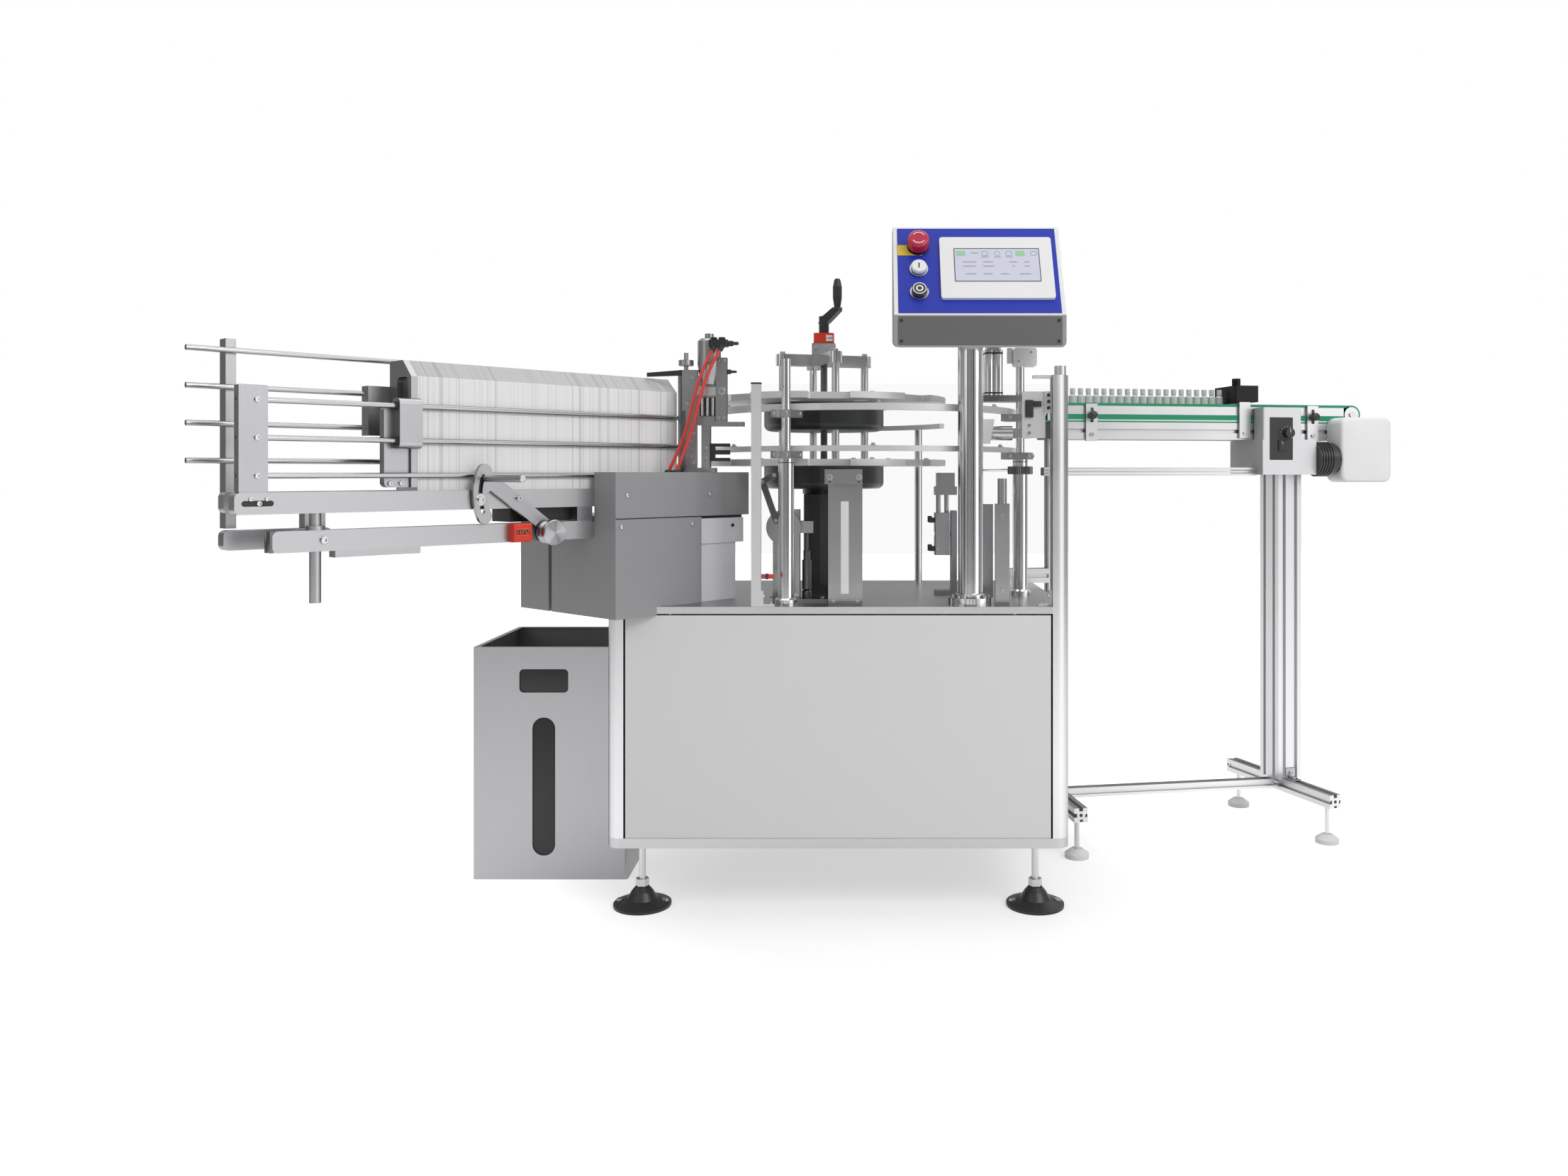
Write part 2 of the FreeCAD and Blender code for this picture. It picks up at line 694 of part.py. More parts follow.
def hmi_box():
    """Folded sheet box: upright lip, leaning face, flat top and a rising underside."""
    side = [(0, HMI_FRONT_Y, HMI_BOTTOM),
            (0, HMI_FRONT_Y, HMI_BOTTOM + HMI_LIP),
            (0, HMI_FRONT_Y + HMI_SETBACK, HMI_BOTTOM + HMI_HEIGHT),
            (0, HMI_FRONT_Y + HMI_SETBACK + HMI_TOP_DEPTH, HMI_BOTTOM + HMI_HEIGHT),
            (0, HMI_FRONT_Y + HMI_BOTTOM_DEPTH, HMI_BOTTOM + HMI_RISE)]
    box = outline_prism(side, V(HMI_WIDTH, 0, 0))
    low = [e for e in box.Edges if e.BoundBox.ZMax < HMI_BOTTOM + HMI_RISE + 1
           and e.BoundBox.XLength < 1]
    box = box.makeFillet(HMI_CORNER, low)
    box.translate(V(HMI_X - HMI_WIDTH / 2, 0, 0))
    depth = BUTTON_STEM_DEPTH + BUTTON_TRAVEL + RUNNING
    for across, up, radius in panel_controls():
        box = box.cut(hmi_face(rod(across, up, -depth, BUTTON_STEM_RADIUS + RUNNING, 2 * depth)))
    return box


def panel_controls():
    """Across, up and radius of the three push buttons on the leaning face."""
    return [(BUTTON_ACROSS, STOP_BUTTON_UP, STOP_HEAD_RADIUS),
            (BUTTON_ACROSS, WHITE_BUTTON_UP, BUTTON_RADIUS),
            (BUTTON_ACROSS, BLACK_BUTTON_UP, BUTTON_RADIUS)]


def push_button(across, up, head_radius, head_height):
    """Button head on a stem that slides into its collar."""
    base = FACE_PLATE_THICKNESS + BUTTON_TRAVEL + 1
    head = rod(across, up, base, head_radius, head_height)
    top_edge = [e for e in head.Edges if e.CenterOfMass.z > base + head_height - 0.1]
    head = head.makeFillet(head_height / 4, top_edge[:1])
    stem = rod(across, up, -BUTTON_STEM_DEPTH, BUTTON_STEM_RADIUS, base + BUTTON_STEM_DEPTH)
    return hmi_face(head.fuse(stem))


def operator_panel():
    """Post with flange, box, blue face plate, touch screen and three buttons."""
    flange = rod(PANEL_POST_X, PANEL_POST_Y, DECK_TOP, FLANGE_RADIUS, FLANGE_THICKNESS)
    post = rod(PANEL_POST_X, PANEL_POST_Y, DECK_TOP, PANEL_POST_RADIUS,
               HMI_BOTTOM + HMI_RISE - DECK_TOP)
    box = hmi_box()
    plate = block(-HMI_WIDTH / 2 + FACE_PLATE_MARGIN, FACE_PLATE_MARGIN / 2, 0,
                  HMI_WIDTH - 2 * FACE_PLATE_MARGIN, HMI_SLOPE - FACE_PLATE_MARGIN,
                  FACE_PLATE_THICKNESS)
    for across, up, radius in panel_controls():
        plate = plate.cut(rod(across, up, 0, BUTTON_STEM_RADIUS + RUNNING, FACE_PLATE_THICKNESS))
    bezel = rounded_block(BEZEL_ACROSS - BEZEL_WIDTH / 2, BEZEL_UP - BEZEL_HEIGHT / 2,
                          FACE_PLATE_THICKNESS, BEZEL_WIDTH, BEZEL_HEIGHT, BEZEL_THICKNESS, 5)
    return {"panel_post": [fused([flange, post]).cut(box)], "panel_box": [box],
            "face_plate": [hmi_face(plate)], "touch_screen": [hmi_face(bezel)],
            "emergency_stop": [push_button(BUTTON_ACROSS, STOP_BUTTON_UP, STOP_HEAD_RADIUS,
                                           STOP_HEAD_HEIGHT)],
            "start_button": [push_button(BUTTON_ACROSS, WHITE_BUTTON_UP, BUTTON_RADIUS,
                                         BUTTON_HEIGHT)],
            "stop_button": [push_button(BUTTON_ACROSS, BLACK_BUTTON_UP, BUTTON_RADIUS,
                                        BUTTON_HEIGHT)]}


def star_plate(z):
    """Plate with a ring of carton pockets round its rim and lightening holes inside them."""
    plate = rod(0, 0, z, STAR_RADIUS, STAR_THICKNESS)
    pocket = rounded_block(STAR_RADIUS - POCKET_DEPTH, -POCKET_WIDTH / 2, z,
                           2 * POCKET_DEPTH, POCKET_WIDTH, STAR_THICKNESS, POCKET_CORNER)
    hole = rod(STAR_HOLE_CIRCLE, 0, z, STAR_HOLE_RADIUS, STAR_THICKNESS)
    step = 360 / POCKETS
    cuts = [placed(pocket, 0, 0, 0, POCKET_PHASE + k * step) for k in range(POCKETS)]
    cuts += [placed(hole, 0, 0, 0, POCKET_PHASE + (k + 0.5) * step) for k in range(POCKETS)]
    return plate.cut(cuts)


def column_places():
    """Places of the four turret columns about the turret axis."""
    angles = [math.radians(COLUMN_PHASE + k * 90) for k in range(4)]
    return [(COLUMN_CIRCLE * math.cos(a), COLUMN_CIRCLE * math.sin(a)) for a in angles]


def hub(top, depth):
    """Round hub under a star plate, with a rounded lower edge."""
    solid = rod(0, 0, top - depth, HUB_RADIUS, depth)
    low = [e for e in solid.Edges if e.CenterOfMass.z < top - depth + 0.1 and e.Length > HUB_RADIUS]
    return solid.makeFillet(HUB_CORNER, low[:1])


def guide_holes(bottom, height):
    """Holes for the four columns and the spindle."""
    holes = [rod(x, y, bottom, COLUMN_RADIUS + RUNNING, height) for x, y in column_places()]
    holes.append(rod(0, 0, bottom, SCREW_RADIUS + SEAT, height))
    return holes


def upper_star():
    """Upper star plate, which slides on the four columns."""
    return on_turret(star_plate(UPPER_STAR_Z).cut(guide_holes(UPPER_STAR_Z, STAR_THICKNESS)))


def upper_hub():
    """Hub under the upper star, with the nut for the spindle."""
    solid = hub(UPPER_STAR_Z, UPPER_HUB_DEPTH)
    return on_turret(solid.cut(guide_holes(UPPER_STAR_Z - UPPER_HUB_DEPTH, UPPER_HUB_DEPTH)))


def turret_frame():
    """Four columns, the cross plate on top of them and its bearing block."""
    floor = LOWER_STAR_Z + STAR_THICKNESS
    parts = [rod(x, y, floor, COLUMN_RADIUS, SPIDER_Z - floor) for x, y in column_places()]
    bar = stadium(2 * COLUMN_CIRCLE, SPIDER_ARM, SPIDER_THICKNESS)
    for turn in (COLUMN_PHASE, COLUMN_PHASE + 90):
        parts.append(placed(bar, 0, 0, SPIDER_Z, turn))
    top = SPIDER_Z + SPIDER_THICKNESS
    parts.append(block(-CAP_BLOCK / 2, -CAP_BLOCK / 2, top, CAP_BLOCK, CAP_BLOCK, CAP_BLOCK_HEIGHT))
    height = SPIDER_THICKNESS + CAP_BLOCK_HEIGHT
    return on_turret(fused(parts).cut(rod(0, 0, SPIDER_Z, SCREW_RADIUS + SEAT, height)))


def lead_screw():
    """Threaded spindle from the lower star up through the cap block."""
    floor = LOWER_STAR_Z + STAR_THICKNESS + SEAT
    top = SPIDER_Z + SPIDER_THICKNESS + CAP_BLOCK_HEIGHT + INDICATOR_HEIGHT + SEAT
    return on_turret(rod(0, 0, floor, SCREW_RADIUS, top - floor))


def position_indicator():
    """Counter housing round the spindle, above the bearing block."""
    z = SPIDER_Z + SPIDER_THICKNESS + CAP_BLOCK_HEIGHT
    body = rounded_block(-INDICATOR_WIDTH / 2, -INDICATOR_WIDTH / 2, z,
                         INDICATOR_WIDTH, INDICATOR_WIDTH, INDICATOR_HEIGHT, 8)
    return on_turret(body.cut(rod(0, 0, z, SCREW_RADIUS + SEAT, INDICATOR_HEIGHT)))


def crank():
    """Cranked handle on the spindle: hub, rising arm and a barrel shaped grip."""
    z = SPIDER_Z + SPIDER_THICKNESS + CAP_BLOCK_HEIGHT + INDICATOR_HEIGHT + SEAT
    boss = rod(0, 0, z, CRANK_HUB_RADIUS, CRANK_HUB_HEIGHT)
    arm_z = z + CRANK_HUB_HEIGHT
    half = CRANK_ARM_WIDTH / 2
    top = arm_z + CRANK_RISE
    end = CRANK_THROW + half
    side = [(-CRANK_HUB_RADIUS, -half, arm_z - CRANK_ARM_WIDTH), (0, -half, arm_z),
            (CRANK_THROW - half, -half, top), (end, -half, top),
            (end, -half, top - CRANK_ARM_WIDTH / 2), (CRANK_HUB_RADIUS, -half, arm_z - CRANK_ARM_WIDTH)]
    arm = outline_prism(side, V(0, CRANK_ARM_WIDTH, 0))
    narrow = CRANK_GRIP_RADIUS * 0.7
    grip = turned([(0, 0), (narrow, 0), (CRANK_GRIP_RADIUS, CRANK_GRIP_HEIGHT * 0.35),
                   (CRANK_GRIP_RADIUS, CRANK_GRIP_HEIGHT * 0.75), (narrow, CRANK_GRIP_HEIGHT),
                   (0, CRANK_GRIP_HEIGHT)])
    grip.translate(V(CRANK_THROW, 0, top))
    handle = placed(fused([boss, arm, grip]), 0, 0, 0, CRANK_PHASE)
    return on_turret(handle)


def index_gearbox():
    """Index drive on the deck: gearbox block with a round output flange."""
    height = LOWER_STAR_Z - LOWER_HUB_DEPTH - DECK_TOP - SEAT
    body_height = height - GEARBOX_FLANGE
    body = rounded_block(-GEARBOX_WIDTH / 2, -GEARBOX_DEPTH / 2, DECK_TOP,
                         GEARBOX_WIDTH, GEARBOX_DEPTH, body_height, 10)
    flange = rod(0, 0, DECK_TOP + body_height, DRIVE_FLANGE_RADIUS, GEARBOX_FLANGE)
    return on_turret(fused([body, flange]))


def turret():
    """Everything that turns, and what carries it."""
    return {"index_gearbox": [index_gearbox()], "lower_star": [on_turret(star_plate(LOWER_STAR_Z))],
            "lower_hub": [on_turret(hub(LOWER_STAR_Z, LOWER_HUB_DEPTH))],
            "turret_frame": [turret_frame()],
            "upper_star": [upper_star()], "upper_hub": [upper_hub()],
            "lead_screw": [lead_screw()],
            "height_indicator": [position_indicator()], "crank": [crank()]}


def guide_ring(z, thickness):
    """Open ring that holds the cartons in the star pockets."""
    sweep = RING_LAST_ANGLE - RING_FIRST_ANGLE
    outer = Part.makeCylinder(RING_RADIUS, thickness, V(0, 0, 0), UP, sweep)
    inner = Part.makeCylinder(RING_RADIUS - RING_WIDTH, thickness, V(0, 0, 0), UP, sweep)
    return placed(outer.cut(inner), RING_X, RING_Y, z, RING_FIRST_ANGLE)


def guide_column(x, y):
    """Round column with a thinner upper part."""
    lower = rod(x, y, DECK_TOP, GUIDE_LOWER_RADIUS, GUIDE_STEP_Z - DECK_TOP)
    upper = rod(x, y, GUIDE_STEP_Z, GUIDE_UPPER_RADIUS, GUIDE_TOP - GUIDE_STEP_Z)
    return fused([lower, upper])


def clamp_block(x, y, top, reach_angle, reach):
    """Split clamp round a column, with an arm that carries a ring."""
    body = block(-CLAMP_WIDTH / 2, -CLAMP_WIDTH / 2, top - CLAMP_HEIGHT,
                 CLAMP_WIDTH / 2 + reach, CLAMP_WIDTH, CLAMP_HEIGHT)
    body = body.cut(rod(0, 0, top - CLAMP_HEIGHT, GUIDE_UPPER_RADIUS + RUNNING, CLAMP_HEIGHT))
    return placed(body, x, y, 0, reach_angle)


def carton_guides():
    """Two guide rings on two stepped columns, and the back rail on its own post."""
    clamps = []
    for x, y in ((LEFT_COLUMN_X, LEFT_COLUMN_Y), (RIGHT_COLUMN_X, RIGHT_COLUMN_Y)):
        angle = math.degrees(math.atan2(RING_Y - y, RING_X - x))
        reach = math.hypot(RING_Y - y, RING_X - x) - RING_RADIUS + RING_WIDTH
        for z in (UPPER_RING_Z, LOWER_RING_Z):
            clamps.append(clamp_block(x, y, z, angle, reach))
    reach = BACK_RAIL_RADIUS + GUIDE_UPPER_RADIUS + RUNNING
    post_angle = math.asin((CABINET_DEPTH - BACK_POST_INSET - TURRET_Y) / reach)
    back_post = rod(reach * math.cos(post_angle), reach * math.sin(post_angle), DECK_TOP,
                    GUIDE_UPPER_RADIUS, BACK_RAIL_Z + BACK_RAIL_WIDTH - DECK_TOP)
    sweep = BACK_RAIL_LAST_ANGLE - BACK_RAIL_FIRST_ANGLE
    rail = Part.makeCylinder(BACK_RAIL_RADIUS, BACK_RAIL_WIDTH, V(0, 0, 0), UP, sweep)
    inside = Part.makeCylinder(BACK_RAIL_RADIUS - BACK_RAIL_WIDTH, BACK_RAIL_WIDTH, V(0, 0, 0),
                               UP, sweep)
    rail = placed(rail.cut(inside), 0, 0, BACK_RAIL_Z, BACK_RAIL_FIRST_ANGLE)
    return {"guide_columns": [guide_column(LEFT_COLUMN_X, LEFT_COLUMN_Y),
                              guide_column(RIGHT_COLUMN_X, RIGHT_COLUMN_Y), on_turret(back_post),
                              cylinder_bundle()],
            "column_clamps": clamps,
            "upper_guide_ring": [guide_ring(UPPER_RING_Z, UPPER_RING_THICKNESS)],
            "lower_guide_ring": [guide_ring(LOWER_RING_Z, LOWER_RING_THICKNESS), on_turret(rail)]}


def front_bracket():
    """Upright bracket in front of the turret: head plate, thin sheet and foot."""
    left = BRACKET_X - BRACKET_WIDTH / 2
    thin = BRACKET_FOOT / 2
    head = block(left, BRACKET_Y - thin, BRACKET_TOP - BRACKET_DEPTH, BRACKET_WIDTH,
                 2 * thin, BRACKET_DEPTH)
    sheet = block(left + thin, BRACKET_Y, DECK_TOP, BRACKET_WIDTH - thin, thin, BRACKET_TOP - DECK_TOP)
    foot = block(left + thin, BRACKET_Y, DECK_TOP, BRACKET_WIDTH - thin, BRACKET_DEPTH, BRACKET_FOOT)
    return {"front_bracket": [fused([head, sheet, foot]), cam_bracket(), press_bracket(),
                              clevis_plate()]}


def magazine():
    """Angled carton magazine with its beams, rods, stack and pusher."""
    along = V(1, 0, 0)
    across = V(0, 1, 0)
    upper_top = UPPER_BEAM_Z + BEAM_HEIGHT
    front_y = END_PLATE_THICKNESS / 2 + ROD_RADIUS
    back_y = MAGAZINE_SPAN + BEAM_WIDTH - ROD_RADIUS
    front_beam = rounded_block(UPPER_BEAM_START, 0, UPPER_BEAM_Z, UPPER_BEAM_END - UPPER_BEAM_START,
                               BEAM_WIDTH, BEAM_HEIGHT, BEAM_CORNER, across)
    slot = stadium(34, SLOT_WIDTH, BEAM_WIDTH)
    slot.rotate(V(0, 0, 0), along, -90)
    slot.translate(V(UPPER_BEAM_START + BEAM_HEIGHT, 0, UPPER_BEAM_Z + BEAM_HEIGHT / 2))
    back_beam = rounded_block(BACK_BEAM_START, MAGAZINE_SPAN, UPPER_BEAM_Z,
                              UPPER_BEAM_END - BACK_BEAM_START, BEAM_WIDTH, BEAM_HEIGHT,
                              BEAM_CORNER, across)
    lower = rounded_block(LOWER_BEAM_START, 0, LOWER_BEAM_Z, COVER_START - LOWER_BEAM_START,
                          BEAM_WIDTH, BEAM_HEIGHT, BEAM_CORNER, across)
    lower_top = LOWER_BEAM_Z + BEAM_HEIGHT
    stud = turned([(0, STUD_BOTTOM), (STUD_RADIUS, STUD_BOTTOM), (STUD_RADIUS, lower_top),
                   (STUD_COLLAR_RADIUS, lower_top), (STUD_COLLAR_RADIUS, lower_top + STUD_COLLAR),
                   (STUD_RADIUS, lower_top + STUD_COLLAR), (STUD_RADIUS, UPPER_BEAM_Z),
                   (0, UPPER_BEAM_Z)])
    stud.translate(V(STUD_X, BEAM_WIDTH / 2, 0))
    front_plate = rounded_block(-END_PLATE_WIDTH, front_y - END_PLATE_THICKNESS / 2, upper_top,
                                END_PLATE_WIDTH, END_PLATE_THICKNESS, END_PLATE_HEIGHT, 2, across)
    back_bar = block(-BACK_BAR_WIDTH - 6, MAGAZINE_SPAN + BEAM_WIDTH, BACK_BAR_BOTTOM,
                     BACK_BAR_WIDTH, BACK_BAR_THICKNESS, BACK_BAR_TOP - BACK_BAR_BOTTOM)
    end_strip = block(STACK_END - 4, 1, UPPER_COVER_TOP, 22, front_y - ROD_RADIUS - 1,
                      STACK_HEIGHT - UPPER_COVER_TOP + upper_top + 10)
    front_rods = [rod(-ROD_SOCKET, front_y, FRONT_ROD_Z + k * ROD_PITCH, ROD_RADIUS,
                      FRONT_ROD_END + ROD_SOCKET, along) for k in range(3)]
    back_rods = [rod(BACK_ROD_START, back_y, BACK_ROD_Z + k * ROD_PITCH, ROD_RADIUS,
                     BACK_ROD_END - BACK_ROD_START, along) for k in range(4)]
    stack_y = front_y + ROD_RADIUS + SEAT
    links = [fused([front_link(), link_handle()])] + beam_links(upper_top)
    return {"carton_beams": [in_magazine(front_beam.cut(slot)), in_magazine(back_beam)],
            "lower_beam": [in_magazine(fused([lower, stud]))],
            "beam_links": [in_magazine(s) for s in links],
            "magazine_end_bars": [in_magazine(front_plate.cut(front_rods)), in_magazine(back_bar),
                                  in_magazine(end_strip)],
            "magazine_rods": [in_magazine(s) for s in front_rods + back_rods],
            "carton_stack": [in_magazine(carton_stack(stack_y, upper_top))],
            "pusher": [in_magazine(pusher(stack_y, upper_top, front_y, back_y))],
            "magazine_counter": [in_magazine(magazine_counter())],
            "magazine_knob": [in_magazine(magazine_knob())]}


def carton_stack(y, floor):
    """Block of flat cartons with a bevelled top edge."""
    top = floor + STACK_HEIGHT
    width = STACK_WIDTH
    section = [(STACK_START, y, floor), (STACK_START, y + width, floor),
               (STACK_START, y + width, top), (STACK_START, y + STACK_BEVEL, top),
               (STACK_START, y, top - STACK_BEVEL)]
    return outline_prism(section, V(STACK_END - STACK_START, 0, 0))


def pusher(y, floor, front_y, back_y):
    """Pusher: windowed plate behind the cartons, carriages on the front and back rods."""
    along = V(1, 0, 0)
    low = floor + SAFE_GAP
    top = floor + STACK_HEIGHT
    x = STACK_START - SEAT - PUSHER_PLATE
    section = [(x, y, low), (x, y + STACK_WIDTH, low), (x, y + STACK_WIDTH, top),
               (x, y + STACK_BEVEL, top), (x, y, top - STACK_BEVEL)]
    plate = outline_prism(section, V(PUSHER_PLATE, 0, 0))
    window = rounded_block(x, y + 10, top - STACK_BEVEL - PUSHER_WINDOW_HEIGHT, PUSHER_PLATE,
                           PUSHER_WINDOW, PUSHER_WINDOW_HEIGHT, 8, along)
    rods_z = [FRONT_ROD_Z + k * ROD_PITCH for k in (1, 2)]
    margin = CARRIAGE_WIDTH / 2
    carriage = rounded_block(CARRIAGE_START, front_y - margin, rods_z[0] - margin,
                             x + PUSHER_PLATE - CARRIAGE_START, CARRIAGE_WIDTH,
                             ROD_PITCH + CARRIAGE_WIDTH, CARRIAGE_CORNER, along)
    side = rounded_block(SIDE_PLATE_START, y + 5, low, x + PUSHER_PLATE - SIDE_PLATE_START,
                         SIDE_PLATE_THICKNESS, rods_z[1] - low, BEAM_CORNER, V(0, 1, 0))
    back_z = [BACK_ROD_Z + k * ROD_PITCH for k in (1, 2)]
    slider = block(x - SLIDER_LENGTH, back_y - margin, back_z[0] - margin, SLIDER_LENGTH,
                   SLIDER_WIDTH, ROD_PITCH + CARRIAGE_WIDTH)
    arm = block(x - PUSHER_PLATE, y + STACK_WIDTH - SLIDER_WIDTH, back_z[0], 2 * PUSHER_PLATE,
                back_y - margin - y - STACK_WIDTH + 2 * SLIDER_WIDTH, ROD_PITCH / 2)
    body = fused([plate.cut(window), carriage, side, slider, arm])
    reach = x + PUSHER_PLATE - SIDE_PLATE_START
    holes = [rod(SIDE_PLATE_START, front_y, z, ROD_RADIUS + RUNNING, reach, along) for z in rods_z]
    holes += [rod(SIDE_PLATE_START, back_y, z, ROD_RADIUS + RUNNING, reach, along) for z in back_z]
    return body.cut(holes)


def magazine_knob():
    """Turned clamp knob on its stem, in front of the link arm."""
    start = 2 * LINK_THICKNESS + 2
    profile = [(0, SEAT), (KNOB_STEM_RADIUS, SEAT), (KNOB_STEM_RADIUS, start),
               (KNOB_RADIUS - 1, start), (KNOB_RADIUS - 1, start + 8), (KNOB_RADIUS - 3, start + 9),
               (KNOB_RADIUS, start + 12), (KNOB_RADIUS, start + KNOB_LENGTH - 1),
               (KNOB_RADIUS - 1, start + KNOB_LENGTH), (0, start + KNOB_LENGTH)]
    knob = turned(profile)
    knob.rotate(V(0, 0, 0), V(1, 0, 0), 90)
    knob.translate(V(KNOB_X, 0, KNOB_Z))
    return knob


def covers():
    """Grey sheet covers over the picker drive, with the narrower skirt to the right."""
    upper = block(COVER_START, COVER_FRONT, COVER_SPLIT_Z, UPPER_COVER_LENGTH,
                  -COVER_FRONT - SEAT, UPPER_COVER_TOP - COVER_SPLIT_Z)
    lower = block(COVER_START, COVER_FRONT, COVER_BOTTOM, LOWER_COVER_LENGTH,
                  LOWER_COVER_DEPTH, COVER_SPLIT_Z - COVER_BOTTOM)
    seam = block(COVER_START, COVER_FRONT + COVER_SEAM, COVER_BOTTOM, COVER_SEAM_DEPTH,
                 COVER_SEAM_WIDTH, COVER_SPLIT_Z - COVER_BOTTOM)
    skirt_start = COVER_START + LOWER_COVER_LENGTH
    band_z = COVER_SPLIT_Z - COVER_SKIRT_BAND - SAFE_GAP
    band = block(skirt_start, COVER_FRONT + 4, band_z, COVER_SKIRT, -COVER_FRONT - 8,
                 COVER_SKIRT_BAND)
    skirt = block(skirt_start, COVER_FRONT + 8, DECK_TOP, COVER_SKIRT - 16, -COVER_FRONT - 16,
                  band_z - DECK_TOP)
    body = in_magazine(fused([lower.cut(seam), band, skirt]))
    over_deck = block(-HALF_WIDTH - SEAT, -SEAT, COVER_BOTTOM, CABINET_WIDTH, CABINET_DEPTH,
                      DECK_TOP - COVER_BOTTOM)
    return {"upper_cover": [in_magazine(upper)], "lower_cover": [body.cut(over_deck)]}


def reject_bin():
    """Open sheet bin hung beside the cabinet, with a folded rim, a window and a level slot."""
    left = -HALF_WIDTH - BIN_WIDTH
    outer = rounded_block(left, BIN_FRONT_Y, 0, BIN_WIDTH, BIN_DEPTH, BIN_HEIGHT, 6)
    inner = block(left + BIN_WALL, BIN_FRONT_Y + BIN_WALL, BIN_WALL,
                  BIN_WIDTH - 2 * BIN_WALL, BIN_DEPTH - 2 * BIN_WALL, BIN_HEIGHT - 2 * BIN_WALL)
    mouth = block(left + BIN_RIM, BIN_FRONT_Y + BIN_RIM, BIN_WALL,
                  BIN_WIDTH - 2 * BIN_RIM, BIN_DEPTH - 2 * BIN_RIM, BIN_HEIGHT)
    middle = left + BIN_WIDTH / 2 + BIN_OPENING_ACROSS
    through = 4 * BIN_WALL
    window = rounded_block(middle - BIN_WINDOW_WIDTH / 2, BIN_FRONT_Y - BIN_WALL, BIN_WINDOW_Z,
                           BIN_WINDOW_WIDTH, through, BIN_WINDOW_HEIGHT, 8, V(0, 1, 0))
    slot = rounded_block(middle - BIN_SLOT_WIDTH / 2, BIN_FRONT_Y - BIN_WALL, BIN_SLOT_BOTTOM,
                         BIN_SLOT_WIDTH, through, BIN_SLOT_TOP - BIN_SLOT_BOTTOM,
                         BIN_SLOT_WIDTH / 2 - 0.5, V(0, 1, 0))
    return {"reject_bin": [outer.cut([inner, mouth, window, slot])]}


def conveyor():
    """Infeed belt conveyor on its stand."""
    front = BELT_MIDDLE - FRAME_WIDTH / 2
    roller_z = BELT_TOP - BELT_THICKNESS - ROLLER_RADIUS
    frame_bottom = roller_z - ROLLER_RADIUS - BELT_THICKNESS
    support_bottom = frame_bottom - SUPPORT_HEIGHT
    nodes = belt(roller_z)
    support = profile_bar(SUPPORT_START, front, support_bottom, SUPPORT_END - SUPPORT_START,
                          FRAME_WIDTH, SUPPORT_HEIGHT, "x")
    nodes["conveyor_support"] = [on_conveyor(s) for s in [support] + belt_brackets(front)]
    nodes["drive_box"] = [on_conveyor(drive_box(support_bottom, front))]
    nodes.update(stand(support_bottom, front))
    nodes["drive_motor"] = [on_conveyor(drive_motor(front))]
    nodes["motor_cover"] = [on_conveyor(motor_cover(front))]
    nodes["speed_knob"] = [on_conveyor(speed_knob())]
    nodes["bottles"] = [on_conveyor(s) for s in bottles()]
    return nodes


def belt_loop(ends, z, radius):
    """Racetrack solid round two roller centres, across the belt width."""
    span = ends[1] - ends[0]
    loop = stadium(span, 2 * radius, BELT_WIDTH)
    loop.rotate(V(0, 0, 0), V(1, 0, 0), -90)
    loop.translate(V(ends[0] + span / 2, BELT_MIDDLE - BELT_WIDTH / 2, z))
    return loop


def drive_box(support_bottom, front):
    """Head box on the stand column, with a control box in front of the belt frame."""
    foot = block(DRIVE_BOX_START, DRIVE_BOX_FRONT, DRIVE_BOX_BOTTOM, DRIVE_FOOT_LENGTH,
                 DRIVE_BOX_BACK - DRIVE_BOX_FRONT, support_bottom - DRIVE_BOX_BOTTOM)
    face = rounded_block(DRIVE_BOX_START, DRIVE_BOX_FRONT, DRIVE_BOX_BOTTOM, DRIVE_BOX_LENGTH,
                         front - DRIVE_BOX_FRONT, DRIVE_BOX_TOP - DRIVE_BOX_BOTTOM, 6)
    return fused([foot, face])


def small_foot(x, y):
    """Small levelling foot of the conveyor stand."""
    foot = turned([(0, 0), (SMALL_FOOT_RADIUS, 0), (SMALL_FOOT_RADIUS, SMALL_FOOT_HEIGHT / 2),
                   (SMALL_FOOT_RADIUS / 2, SMALL_FOOT_HEIGHT), (0, SMALL_FOOT_HEIGHT)])
    stem = rod(0, 0, SMALL_FOOT_HEIGHT, SMALL_STEM_RADIUS, FOOT_BAR_Z - SMALL_FOOT_HEIGHT)
    return placed(fused([foot, stem]), x, y)


def drive_motor(front):
    """Round motor beside the head box, with its end flange."""
    start = DRIVE_BOX_START + DRIVE_FOOT_LENGTH
    length = MOTOR_COVER_START - start
    middle = front - MOTOR_COVER_DEPTH / 2
    motor = turned([(0, 0), (MOTOR_RADIUS, 0), (MOTOR_RADIUS, length - 8),
                    (MOTOR_RADIUS - 5, length - 4), (MOTOR_RADIUS - 5, length), (0, length)])
    motor.rotate(V(0, 0, 0), V(0, 1, 0), 90)
    motor.translate(V(start, middle, MOTOR_Z + 12))
    return motor


def motor_cover(front):
    """Rounded cover over the belt drive."""
    return rounded_block(MOTOR_COVER_START, front - MOTOR_COVER_DEPTH, MOTOR_COVER_BOTTOM,
                         MOTOR_COVER_LENGTH, MOTOR_COVER_DEPTH,
                         MOTOR_COVER_TOP - MOTOR_COVER_BOTTOM, 14)


